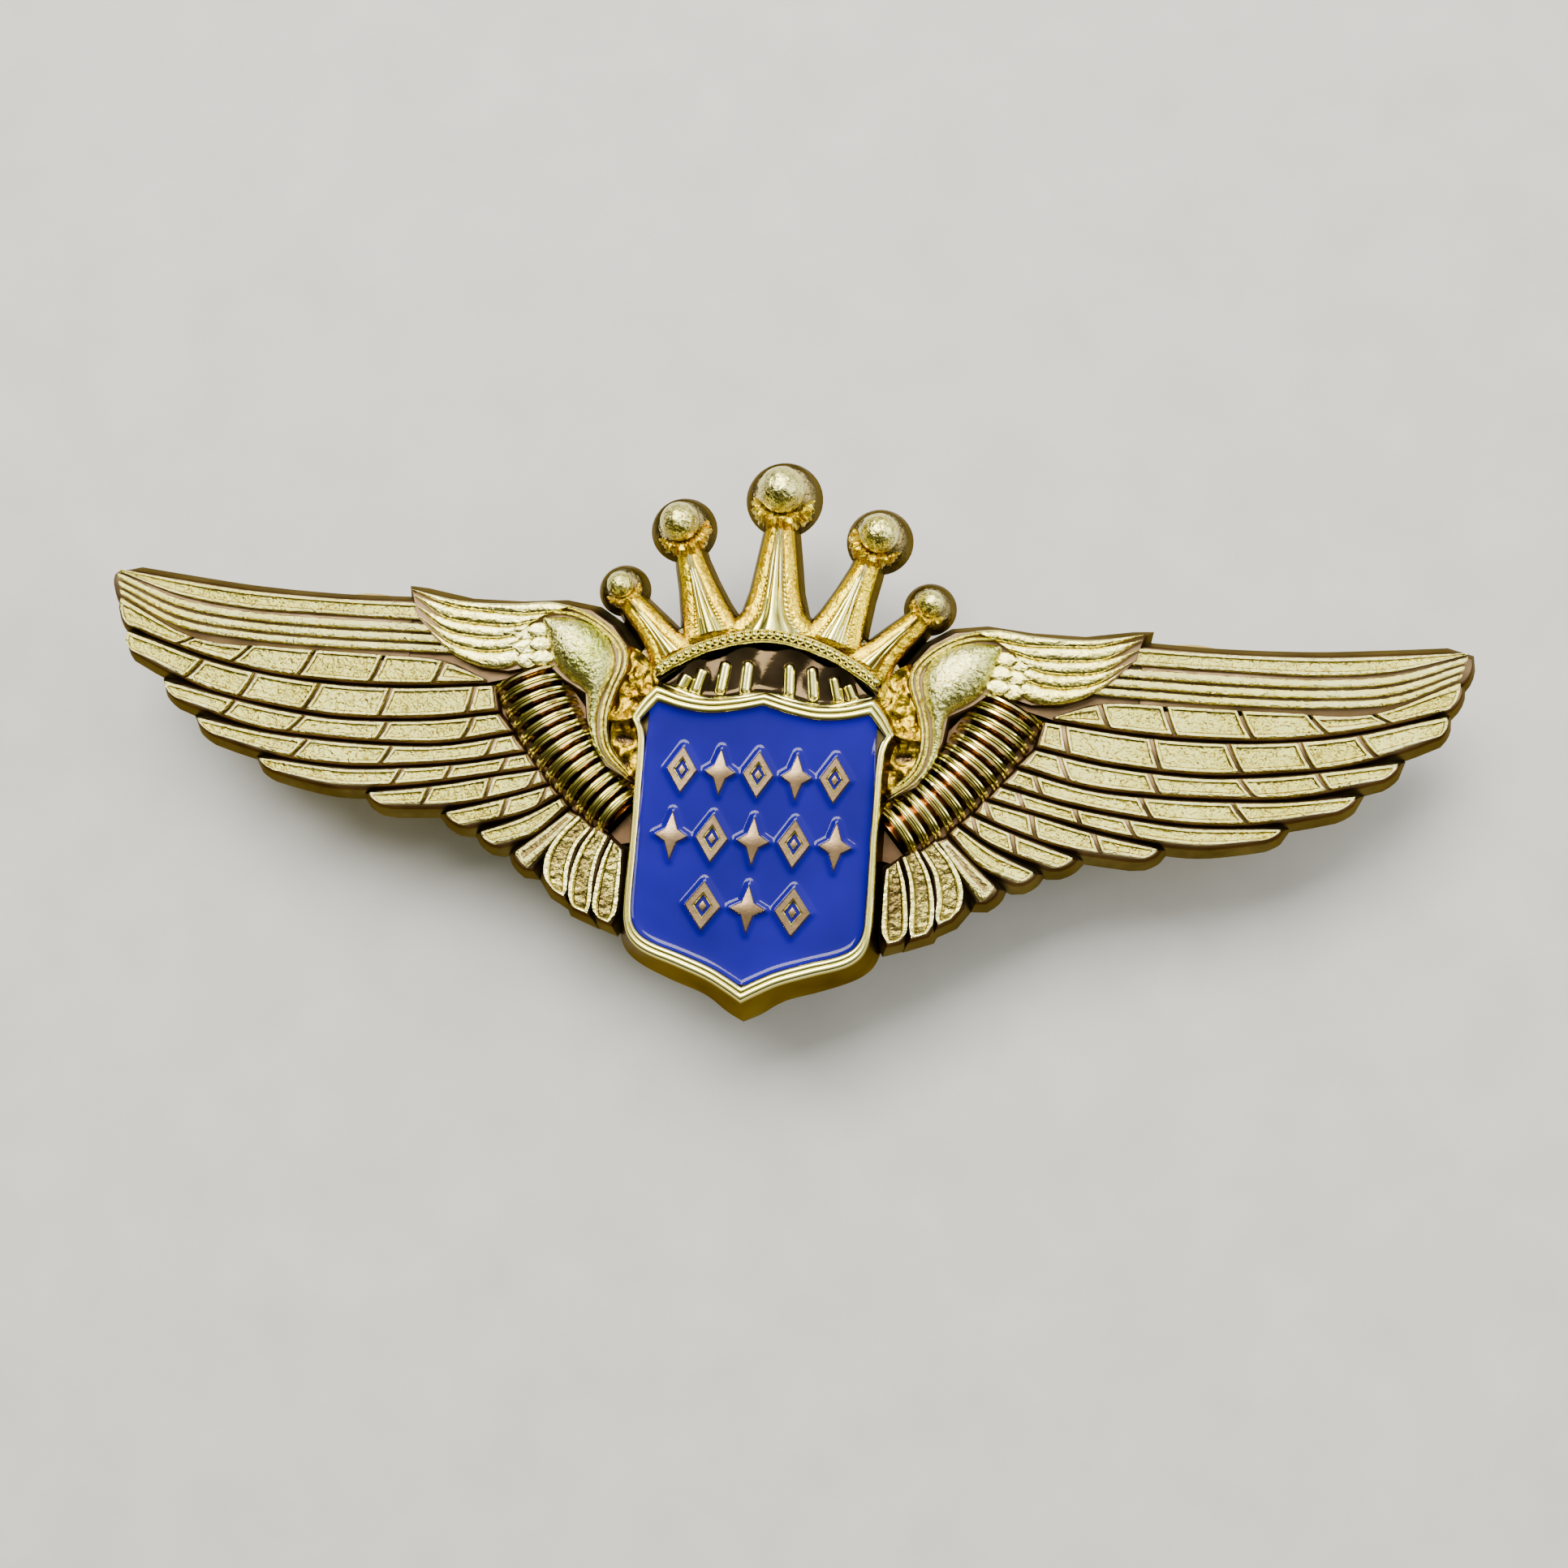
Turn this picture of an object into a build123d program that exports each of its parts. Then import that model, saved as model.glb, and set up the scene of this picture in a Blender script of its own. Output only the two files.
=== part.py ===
"""Pilot wings pin: a cast wing plate with an applied crown and an applied enamelled shield,
worn on three posts with butterfly clutches. The pin lies face up on its clutches. +X is towards
the right-hand wing tip, +Y towards the crown, +Z out of the front. The origin is the middle of
the pin's box, in the plane that the clutches' squeeze wings touch. Sizes are in millimetres."""
from math import cos, radians, sin
import os

from build123d import *

os.makedirs("parts", exist_ok=True)

# ---- driving dimensions ----
BACK_Z = 7.9            # back of the wing plate above the surface it lies on
PLATE = 1.0             # base plate thickness
FEATHER_FLOOR = 1.45    # groove floors between the feathers, above the back
WING_TOP = 1.9          # feather faces above the back
SWAN_TOP = 2.5          # flat of the swans above the back
SHIELD_TOP = 3.0        # shield rim above the back
SKIRT = 0.65            # how far the drafted edge spreads beyond the wing relief
CROWN_HALO = 0.8        # the same beyond the crown's spikes
CROWN_WEB = 0.25        # and how far the crown's own web does
DISC_STEP = 0.45        # the crown's discs are this much smaller in radius than the plate's
POCKET = 0.8            # enamel pocket depth
ENAMEL_DEPTH = 0.68     # enamel thickness in the pocket
ORNAMENT_RISE = 0.08    # ornaments above the shield rim
STAR_WAIST = 0.26       # inner corners of the four-pointed stars
SHIELD_DRAFT = -18      # degrees, wider towards the plate

BALLS = [(0.0, 15.5, 1.30, 2.2), (5.6, 13.4, 1.10, 1.9), (8.7, 9.7, 0.75, 1.5)]  # x, y, radius, disc
SHIELD_TIP_Y = -14.1
BOX_MID_Y = (BALLS[0][1] + BALLS[0][3] + SHIELD_TIP_Y) / 2

POSTS = {"left": (-23.5, 3.2), "centre": (0.0, -2.6), "right": (23.5, 3.2)}
POST_R = 0.6
POST_LENGTH = 7.6       # from the back of the plate to the sharp tip
GROOVE_R = 0.42
GROOVE_DEPTHS = (5.25, 5.85)
GROOVE_SLOPE = 0.08
CONE_START = 6.85
TIP_R = 0.1
PAD_R = 2.4
PAD_THICKNESS = 0.5

HOME_GAP = 0.1          # pad to clutch when the clutch is pushed home
DISC_R = 5.6
DISC_THICKNESS = 0.4
DISC_LIP = 0.35         # rolled rim, towards the cap side
RUNNING_GAP = 0.06      # clutch bore to post, on the radius
DOME_R = 3.5
DOME_WALL = 0.35
DOME_HEIGHT = 4.1
FLANGE_R = 4.7
DOME_HOLE_R = 1.0
LEAF_THICKNESS = 0.35
LEAF_WIDTH = 3.2
LEAF_DEPTHS = (1.0, 1.5)    # the two leaves' near faces, below the disc
SQUEEZE = 0.6           # travel of each leaf
SLOT_GAP = 0.04         # leaf slot to post, on the radius
SLOT_RUN = SQUEEZE + 0.1
LEAF_TAIL = 1.9         # how far a leaf reaches past the post, away from its squeeze wing
SQUEEZE_WING_X = (4.3, 6.3)
SQUEEZE_WING_WIDTH = 6.4

# ---- outlines of the right-hand half, x and y from the emblem's own centre ----
SWAN_BACK = [(9.2, 7.5), (10.2, 8.15), (12, 8.35), (14.5, 8.05), (17.5, 8.1), (20.5, 8.6)]
WING_LEAD = [(20.5, 8.0), (25, 7.9), (30, 8.05), (34, 8.4), (37.9, 8.8)]
SWAN_WING_UNDER = [(20.5, 8.6), (20.0, 7.0), (18.6, 5.65), (16.4, 4.55), (13.9, 4.45)]
SWAN_FRONT = [(7.3, -1.3), (8.6, -0.3), (9.2, 0.8), (9.4, 2.0),
              (9.0, 3.5), (8.0, 5.4), (8.2, 6.6), (9.2, 7.5)]
SWAN_NECK = [(13.9, 4.45), (11.2, 4.2), (9.9, 3.3), (9.8, 1.6), (9.1, 0.0), (7.3, -1.3)]

# feather rows, each as its upper edge and its lower edge, from the body out to the tip
ROWS = [
    ([(15.9, 3.8), (18.3, 4.7), (22, 4.85), (28, 4.9), (33, 5.15), (37.5, 7.2)],
     [(15.9, 3.75), (20, 3.35), (24, 3.25), (28, 3.45), (32, 4.15), (36.8, 5.55)]),
    ([(15.4, 3.5), (20, 3.05), (24, 2.95), (28, 3.2), (32, 3.85), (36.85, 5.25)],
     [(15.1, 2.2), (19, 1.55), (24, 1.3), (28, 1.65), (32, 2.35), (36.4, 4.1)]),
    ([(15.0, 1.9), (19, 1.25), (24, 1.0), (28, 1.35), (32, 2.05), (34.4, 2.55)],
     [(14.2, 1.05), (18, 0.2), (22, 0.0), (26, 0.1), (29, 0.35), (33.4, 1.55)]),
    ([(14.1, 0.75), (18, -0.1), (22, -0.3), (26, -0.2), (29, 0.05), (32.25, 0.6)],
     [(13.4, 0.0), (17, -0.8), (21.5, -1.35), (24, -1.45), (27, -1.25), (31, -0.35)]),
    ([(13.2, -0.25), (17, -1.1), (21.5, -1.65), (24, -1.75), (28.4, -1.45)],
     [(12.7, -0.85), (16, -1.6), (20, -2.35), (24, -2.65), (27.3, -2.15)]),
    ([(12.4, -1.1), (15, -1.65), (18, -2.35), (21.9, -3.0)],
     [(12.0, -1.7), (14, -2.45), (17, -3.25), (21.0, -3.6)]),
    ([(11.7, -1.95), (14, -2.75), (17.4, -3.8)],
     [(11.3, -2.35), (13, -3.4), (16.4, -4.45)]),
    ([(11.0, -2.6), (13, -3.75), (15.3, -4.75)],
     [(10.7, -2.95), (12.4, -4.6), (14.5, -5.4)]),
    ([(10.5, -3.3), (11.8, -4.4), (13.3, -5.7)],
     [(10.0, -3.5), (11.2, -5.0), (12.5, -6.6)]),
]
# cuts across the rows: row number, top x, bottom x
FEATHER_ENDS = [
    (0, 18.3, 18.9), (0, 21.8, 22.5), (0, 25.8, 26.7), (0, 29.5, 30.7), (0, 32.9, 34.0),
    (1, 16.4, 16.8), (1, 21.2, 21.8), (1, 25.3, 26.2), (1, 29.1, 30.0), (1, 32.2, 33.3),
    (2, 16.3, 16.9), (2, 21.2, 21.8), (2, 26.0, 27.0), (2, 30.1, 30.9),
    (3, 15.0, 15.5), (3, 20.8, 21.5), (3, 25.7, 26.7),
    (4, 14.2, 14.6), (4, 17.3, 17.7), (4, 20.1, 20.7),
    (5, 12.4, 12.9), (5, 15.0, 15.3), (5, 18.4, 18.9),
    (6, 11.8, 12.2), (6, 14.0, 14.3),
]
GROOVE_WIDTH = 0.25
ROW_HEIGHT = 1.3        # usual height of a row, over which a cut leans from its top x to its bottom x
CUT_HALF_HEIGHT = 0.95
CUT_REACH = 3.6         # row points nearer than this in x give a cut its middle height
WING_TRAIL = [
    (37.9, 8.8), (37.5, 6.9), (36.9, 5.3), (35.6, 3.3), (34.4, 2.4), (32.3, 0.5), (28.4, -1.6),
    (25.0, -2.75), (21.9, -3.1), (17.4, -4.1), (15.3, -5.0), (13.2, -6.2), (11.4, -7.4),
    (9.9, -8.5), (7.6, -9.3), (5.5, -8.0),
]
LEAD_RIBS = [
    ([(20.6, 7.9), (25, 7.8), (30, 7.95), (34, 8.3), (37.7, 8.75)],
     [(20.4, 6.95), (25, 6.95), (30, 7.0), (34, 7.5), (37.7, 8.65)]),
    ([(20.2, 6.35), (25, 6.2), (30, 6.35), (34, 6.95), (37.7, 8.4)],
     [(20.0, 5.85), (25, 5.7), (30, 5.85), (34, 6.45), (37.7, 8.0)]),
    ([(19.8, 5.6), (25, 5.45), (30, 5.6), (34, 6.2), (37.6, 7.8)],
     [(19.4, 5.2), (25, 5.1), (30, 5.25), (34, 5.75), (37.5, 7.4)]),
]
TAIL_FEATHERS = [
    [(9.8, -3.5), (11.4, -5.4), (11.6, -6.8), (10.3, -8.0), (10.1, -6.2), (9.2, -4.2)],
    [(8.9, -4.1), (9.9, -6.4), (10.0, -8.2), (8.8, -8.8), (8.7, -6.6), (8.1, -4.6)],
    [(7.8, -4.8), (8.4, -6.6), (8.6, -8.8), (7.8, -9.2), (7.3, -8.6), (7.3, -5.4)],
]
HORN_RINGS = 13
HORN_LINE = [(13.5, 4.2), (11.9, 1.3), (9.9, -1.3), (7.5, -3.1)]
HORN_R = (1.75, 1.35)
HORN_AXIS_Z = 0.85
RING_FOOT = FEATHER_FLOOR - 0.2     # flat underside of each ring, above the back
RING_THICKNESS = 0.4

SHIELD_RIM = [(0, 3.9), (2.9, 3.3), (6.0, 3.95), (7.15, 2.0), (6.75, 0.9), (6.8, -8.6), (5.7, -10.35),
              (0, -12.5)]
SHIELD_SKIRT = [(0, 4.6), (2.9, 4.2), (6.5, 4.9), (8.0, 2.0), (7.6, 0.9), (7.75, -9.1), (6.4, -11.3),
                (0, SHIELD_TIP_Y)]
ENAMEL_EDGE = [(0, 3.2), (2.95, 2.55), (5.85, 3.05), (6.75, 1.95), (6.35, 0.8), (6.4, -8.5), (5.4, -9.9),
               (0, -11.9)]

SPIKES = [
    [(-1.75, 7.7), (-0.75, 10.5), (-0.3, 14.2), (0.3, 14.2), (0.75, 10.5), (1.75, 7.7)],
    [(2.15, 7.55), (3.6, 9.4), (4.9, 12.4), (5.4, 12.2), (4.7, 9.2), (4.5, 7.0)],
    [(4.6, 6.5), (6.2, 7.3), (8.0, 9.2), (8.4, 8.9), (7.4, 7.2), (6.4, 5.5)],
]
SPIKE_TOP = 2.3
BALL_SEAT = 0.08        # balls stand this much above the plate
BAND_PATH = [(0, 7.35), (3.0, 6.75), (5.2, 5.6), (6.1, 4.9)]
BAND_WIDTH = 0.6
BAND_TOP = 2.8
CAP_FLOOR = 1.7         # floor of the crown's cap and web, above the back
FLUTE_XS = (1.2, 2.5, 3.8, 4.9)
FLUTE_MID_Y = 5.6
FLUTE_WIDTH, FLUTE_LENGTH, FLUTE_RISE = 0.3, 1.3, 0.5
STUD_R = 0.8
STUD_GAP = 0.02
STUD_LENGTH = 0.95
SHIELD_STUDS = [(0, 1.4), (0, -8.2)]
CROWN_STUDS = [(-3.2, 5.8), (3.2, 5.8)]

# ornament grid: y of the row, number across, pitch, half width, half height
ORNAMENT_ROWS = [(-0.6, 5, 2.1, 0.85, 1.3), (-4.25, 5, 2.25, 0.9, 1.35), (-7.95, 3, 2.45, 1.0, 1.35)]


def level(height):
    """The emblem's drawing plane at a height above the back of the plate."""
    return Plane((0, -BOX_MID_Y, BACK_Z + height))


def depth(below):
    """A horizontal plane at a depth below the back of the plate."""
    return Plane((0, 0, BACK_Z - below))


def face_of(points, mode=Mode.ADD):
    with BuildLine() as edge:
        Polyline(*points, close=True)
    make_face(edge.edges(), mode=mode)


def strip_of(upper, lower):
    """A feather row or rib: two smooth edges joined at both ends."""
    with BuildLine() as edge:
        Spline(*upper)
        Line(upper[-1], lower[-1])
        Spline(*lower)
        Line(lower[0], upper[0])
    make_face(edge.edges())


def both_halves(half):
    """A symmetric closed outline from its right-hand half, which starts and ends on the Y axis."""
    face_of(half + [(-x, y) for x, y in half[-2:0:-1]])


def ornament(half_width, half_height, star):
    """A four-pointed star, or an open lozenge with a pip in it."""
    if star:
        tips = [(0, half_height), (half_width, 0), (0, -half_height), (-half_width, 0)]
        w = STAR_WAIST
        inner = [(w, w), (w, -w), (-w, -w), (-w, w)]
        face_of([p for pair in zip(tips, inner) for p in pair])
    else:
        for scale, mode in ((1.0, Mode.ADD), (0.58, Mode.SUBTRACT), (0.2, Mode.ADD)):
            w, h = half_width * scale, half_height * scale
            face_of([(0, h), (w, 0), (0, -h), (-w, 0)], mode=mode)


def ornaments():
    for row, (y, count, pitch, half_width, half_height) in enumerate(ORNAMENT_ROWS):
        for i in range(count):
            with Locations(((i - (count - 1) / 2) * pitch, y)):
                with BuildSketch(mode=Mode.PRIVATE) as motif:
                    ornament(half_width, half_height, star=(row + i) % 2 == 1)
                add(motif.sketch)


def along(points, t):
    """A point on a polyline, t running from 0 to 1 over its spans, and the span's direction."""
    spans = len(points) - 1
    i = min(int(t * spans), spans - 1)
    (x0, y0), (x1, y1) = points[i], points[i + 1]
    f = t * spans - i
    return Vector(x0 + f * (x1 - x0), y0 + f * (y1 - y0)), Vector(x1 - x0, y1 - y0)


# ---- the wing plate, with swans, ringed horns and tail feathers ----
def right_wing_face():
    with BuildLine() as edge:
        Spline(*SWAN_BACK)
        Line(SWAN_BACK[-1], WING_LEAD[0])
        Spline(*WING_LEAD)
        Polyline(*WING_TRAIL)
        Polyline(WING_TRAIL[-1], (5.5, 5.0), SWAN_BACK[0])
    make_face(edge.edges())


with BuildPart() as right_relief:
    with BuildSketch(level(PLATE)):
        right_wing_face()
    extrude(amount=FEATHER_FLOOR - PLATE)
    with BuildSketch(level(FEATHER_FLOOR)):
        for upper, lower in ROWS + LEAD_RIBS:
            strip_of(upper, lower)
        for feather in TAIL_FEATHERS:
            face_of(feather)
        for row, x_top, x_bottom in FEATHER_ENDS:
            upper, lower = ROWS[row]
            mid_x = (x_top + x_bottom) / 2
            near = [y for x, y in upper + lower if abs(x - mid_x) < CUT_REACH]
            mid_y = (max(near) + min(near)) / 2
            slant = (x_bottom - x_top) / ROW_HEIGHT * CUT_HALF_HEIGHT
            w = GROOVE_WIDTH / 2
            cut_top, cut_bottom = mid_y + CUT_HALF_HEIGHT, mid_y - CUT_HALF_HEIGHT
            face_of([(mid_x - slant - w, cut_top), (mid_x - slant + w, cut_top),
                     (mid_x + slant + w, cut_bottom), (mid_x + slant - w, cut_bottom)], mode=Mode.SUBTRACT)
    extrude(amount=WING_TOP - FEATHER_FLOOR)
    with BuildSketch(level(PLATE)):
        with BuildLine():
            Spline(*SWAN_BACK)
            Spline(*SWAN_WING_UNDER)
            Spline(*SWAN_NECK)
            Spline(*SWAN_FRONT)
        make_face()
    extrude(amount=SWAN_TOP - PLATE)
    for ring in range(HORN_RINGS):
        t = ring / (HORN_RINGS - 1)
        place, heading = along(HORN_LINE, t)
        ring_r = HORN_R[0] + t * (HORN_R[1] - HORN_R[0])
        origin = (place.X, place.Y - BOX_MID_Y, BACK_Z + HORN_AXIS_Z)
        across = (-heading.Y, heading.X, 0)
        with BuildSketch(Plane(origin=origin, x_dir=across, z_dir=(heading.X, heading.Y, 0))):
            Circle(ring_r)
            with Locations((0, -HORN_AXIS_Z - ring_r + RING_FOOT)):
                Rectangle(3 * ring_r, 2 * ring_r, mode=Mode.SUBTRACT)
        extrude(amount=RING_THICKNESS / 2, both=True)

with BuildPart() as wings_casting:
    with BuildSketch(level(0)):
        with BuildSketch(mode=Mode.PRIVATE) as wing_foot:
            face_of(SWAN_BACK + WING_LEAD + WING_TRAIL[1:] + [(5.5, 5.0)])
            offset(amount=SKIRT)
        add(wing_foot.sketch)
        mirror(wing_foot.sketch, about=Plane.YZ)
        both_halves(SHIELD_SKIRT)
        for x, y, ball_r, disc_r in BALLS:
            for side in {x, -x}:
                with Locations((side, y)):
                    Circle(disc_r)
        for spike in SPIKES:
            for side in (1, -1):
                with BuildSketch(mode=Mode.PRIVATE) as web:
                    face_of([(side * x, y) for x, y in spike])
                    offset(amount=CROWN_HALO)
                add(web.sketch)
        both_halves([(0, 8.6), (3.2, 8.3), (6.6, 7.5), (8.2, 4.0), (0, 3.0)])
    extrude(amount=PLATE)
    add(right_relief.part)
    add(mirror(right_relief.part, about=Plane.YZ, mode=Mode.PRIVATE))
    with BuildSketch(level(0)):
        with Locations(*SHIELD_STUDS, *CROWN_STUDS):
            Circle(STUD_R + STUD_GAP)
    extrude(amount=PLATE, mode=Mode.SUBTRACT)
wings_casting.part.label = "wings_casting"
export_step(wings_casting.part, "parts/wings_casting.step")


# ---- the crown: halo, spikes, balls, beaded band and fluted cap ----
with BuildPart() as crown_casting:
    with BuildSketch(level(PLATE)):
        both_halves([(0, 7.6), (3.2, 7.3), (6.2, 6.2), (6.1, 4.95), (0, 4.95)])
        for x, y, ball_r, disc_r in BALLS:
            for side in {x, -x}:
                with Locations((side, y)):
                    Circle(disc_r - DISC_STEP)
        for spike in SPIKES:
            for side in (1, -1):
                with BuildSketch(mode=Mode.PRIVATE) as web:
                    face_of([(side * x, y) for x, y in spike])
                    offset(amount=CROWN_WEB)
                add(web.sketch)
    extrude(amount=CAP_FLOOR - PLATE)
    with BuildSketch(level(CAP_FLOOR)):
        for spike in SPIKES:
            for side in (1, -1):
                face_of([(side * x, y) for x, y in spike])
    extrude(amount=SPIKE_TOP - CAP_FLOOR)
    with BuildSketch(level(CAP_FLOOR)):
        upper = [(-x, y) for x, y in BAND_PATH[:0:-1]] + BAND_PATH
        strip_of(upper, [(x, y - BAND_WIDTH) for x, y in upper])
    extrude(amount=BAND_TOP - CAP_FLOOR)
    with BuildSketch(level(CAP_FLOOR)):
        for flute_x in FLUTE_XS:
            for side in (1, -1):
                with Locations((side * flute_x, FLUTE_MID_Y)):
                    Rectangle(FLUTE_WIDTH, FLUTE_LENGTH)
    extrude(amount=FLUTE_RISE)
    for x, y, ball_r, disc_r in BALLS:
        for side in {x, -x}:
            with Locations((side, y - BOX_MID_Y, BACK_Z + PLATE + ball_r + BALL_SEAT)):
                Sphere(ball_r)
    with BuildSketch(level(PLATE)):
        with Locations(*CROWN_STUDS):
            Circle(STUD_R)
    extrude(amount=-STUD_LENGTH)
crown_casting.part.label = "crown_casting"
export_step(crown_casting.part, "parts/crown_casting.step")


# ---- the shield and its enamel ----
with BuildPart() as shield_casting:
    with BuildSketch(level(SHIELD_TOP)):
        both_halves(SHIELD_RIM)
    extrude(amount=-(SHIELD_TOP - PLATE), taper=SHIELD_DRAFT)
    with BuildSketch(level(SHIELD_TOP)):
        both_halves(ENAMEL_EDGE)
    extrude(amount=-POCKET, mode=Mode.SUBTRACT)
    with BuildSketch(level(SHIELD_TOP - POCKET)):
        ornaments()
    extrude(amount=POCKET + ORNAMENT_RISE)
    with BuildSketch(level(PLATE)):
        with Locations(*SHIELD_STUDS):
            Circle(STUD_R)
    extrude(amount=-STUD_LENGTH)
shield_casting.part.label = "shield_casting"
export_step(shield_casting.part, "parts/shield_casting.step")

with BuildPart() as shield_enamel:
    with BuildSketch(level(SHIELD_TOP - POCKET)):
        both_halves(ENAMEL_EDGE)
    extrude(amount=ENAMEL_DEPTH)
    with BuildSketch(level(SHIELD_TOP - POCKET)):
        ornaments()
    extrude(amount=ENAMEL_DEPTH, mode=Mode.SUBTRACT)
shield_enamel.part.label = "shield_enamel"
export_step(shield_enamel.part, "parts/shield_enamel.step")


# ---- the posts: a soldered pad and a sharp nail with a grip groove ----
def revolved_about_post(points, x, y):
    """A closed profile of radius and depth below the back, turned about a post's axis."""
    with BuildSketch(Plane(origin=(x, y, BACK_Z), x_dir=(1, 0, 0), z_dir=(0, -1, 0))) as half_section:
        face_of([(r, -d) for r, d in points])
    revolve(half_section.sketch, axis=Axis((x, y, 0), (0, 0, 1)))


NAIL = [
    (0, PAD_THICKNESS), (POST_R, PAD_THICKNESS), (POST_R, GROOVE_DEPTHS[0]),
    (GROOVE_R, GROOVE_DEPTHS[0] + GROOVE_SLOPE), (GROOVE_R, GROOVE_DEPTHS[1] - GROOVE_SLOPE),
    (POST_R, GROOVE_DEPTHS[1]), (POST_R, CONE_START), (TIP_R, POST_LENGTH), (0, POST_LENGTH),
]
PAD = [(0, 0), (PAD_R, 0), (PAD_R, 0.25), (PAD_R - 0.35, PAD_THICKNESS), (0, PAD_THICKNESS)]

DISC_TOP = PAD_THICKNESS + HOME_GAP
DISC_END = DISC_TOP + DISC_THICKNESS
BORE_R = POST_R + RUNNING_GAP
DISC = [
    (BORE_R + 0.3, DISC_TOP), (DISC_R - 0.2, DISC_TOP), (DISC_R, DISC_TOP + 0.2),
    (DISC_R, DISC_END + DISC_LIP), (DISC_R - 0.35, DISC_END + DISC_LIP), (DISC_R - 0.35, DISC_END),
    (BORE_R, DISC_END), (BORE_R, DISC_TOP + 0.15),
]
DIMPLES, DIMPLE_R, DIMPLE_CIRCLE_R = 8, 0.35, 4.2
CAP_END = DISC_END + DOME_HEIGHT
CAP = [
    (DOME_R - DOME_WALL, DISC_END), (FLANGE_R, DISC_END), (FLANGE_R, DISC_END + DOME_WALL),
    (DOME_R, DISC_END + DOME_WALL), (DOME_R - 0.15, CAP_END - 1.3), (DOME_R - 0.9, CAP_END - 0.35),
    (DOME_HOLE_R + 0.5, CAP_END), (DOME_HOLE_R, CAP_END), (DOME_HOLE_R, CAP_END - DOME_WALL),
    (DOME_HOLE_R + 0.4, CAP_END - DOME_WALL), (DOME_R - 1.1, CAP_END - 0.65),
    (DOME_R - 0.15 - DOME_WALL, CAP_END - 1.4),
]
WINDOW_DEPTHS = (DISC_END + 0.85, DISC_END + 2.05)


for name, (x, emblem_y) in POSTS.items():
    y = emblem_y - BOX_MID_Y
    with BuildPart() as pad:
        revolved_about_post(PAD, x, y)
    pad.part.label = f"post_pad_{name}"
    export_step(pad.part, f"parts/post_pad_{name}.step")

    with BuildPart() as nail:
        revolved_about_post(NAIL, x, y)
    nail.part.label = f"post_nail_{name}"
    export_step(nail.part, f"parts/post_nail_{name}.step")

    with BuildPart() as disc:
        revolved_about_post(DISC, x, y)
        for i in range(DIMPLES):
            a = radians(360 / DIMPLES * (i + 0.5))
            with Locations((x + DIMPLE_CIRCLE_R * cos(a), y + DIMPLE_CIRCLE_R * sin(a), BACK_Z - DISC_TOP)):
                Sphere(DIMPLE_R)
    disc.part.label = f"clutch_disc_{name}"
    export_step(disc.part, f"parts/clutch_disc_{name}.step")

    with BuildPart() as cap:
        revolved_about_post(CAP, x, y)
        window_mid = BACK_Z - (WINDOW_DEPTHS[0] + WINDOW_DEPTHS[1]) / 2
        with Locations((x, y, window_mid)):
            Box(2 * DOME_R + 1, LEAF_WIDTH + 0.3, WINDOW_DEPTHS[1] - WINDOW_DEPTHS[0], mode=Mode.SUBTRACT)
    cap.part.label = f"clutch_cap_{name}"
    export_step(cap.part, f"parts/clutch_cap_{name}.step")

    for side, label, below in ((-1, "outer", LEAF_DEPTHS[0]), (1, "inner", LEAF_DEPTHS[1])):
        top = DISC_END + below
        x0, x1 = SQUEEZE_WING_X
        neck, flare = LEAF_WIDTH / 2, SQUEEZE_WING_WIDTH / 2
        with BuildPart() as leaf:
            # flat strip with a slot for the post; the slot's far edge grips
            with BuildSketch(depth(top)):
                with Locations((x + side * (x0 - LEAF_TAIL) / 2, y)):
                    Rectangle(x0 + LEAF_TAIL, LEAF_WIDTH)
                with Locations((x + side * SLOT_RUN / 2, y)):
                    SlotCenterToCenter(SLOT_RUN, 2 * (POST_R + SLOT_GAP), mode=Mode.SUBTRACT)
            extrude(amount=-LEAF_THICKNESS)
            # the squeeze wing flares as it drops
            profile = [(x0, top), (x0 + 0.35, top), (x0 + 0.75, top + 2.2), (x1, BACK_Z), (x1 - 0.4, BACK_Z),
                       (x0 + 0.4, top + 2.4), (x0, top + LEAF_THICKNESS + 0.15)]
            with BuildSketch(Plane(origin=(x, y, BACK_Z), x_dir=(1, 0, 0), z_dir=(0, -1, 0))):
                with BuildLine():
                    Polyline(*[(side * r, -d) for r, d in profile], close=True)
                make_face()
            extrude(amount=flare, both=True)
            with BuildSketch(Plane(origin=(x, y, BACK_Z), x_dir=(0, 1, 0), z_dir=(1, 0, 0))):
                with BuildLine():
                    Polyline((-neck, -top + 1), (neck, -top + 1), (neck, -top - 0.5), (flare, -top - 2.2),
                             (flare, -BACK_Z), (-flare, -BACK_Z), (-flare, -top - 2.2), (-neck, -top - 0.5),
                             close=True)
                make_face()
            extrude(amount=10, both=True, mode=Mode.INTERSECT)
        leaf.part.label = f"clutch_leaf_{name}_{label}"
        export_step(leaf.part, f"parts/clutch_leaf_{name}_{label}.step")
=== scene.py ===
"""Looks of a pilot wings pin: gold-plated cast wings with swans, ringed horns and a crown, round a
blue enamelled shield, on three posts with butterfly clutches.

Lengths in the tables are millimetres in the emblem's own frame: x and y from the shield's centre,
and h above the back of the plate. at() turns them into the frame's metres."""

import math

import bpy
from mathutils import Matrix, Vector, noise


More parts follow.
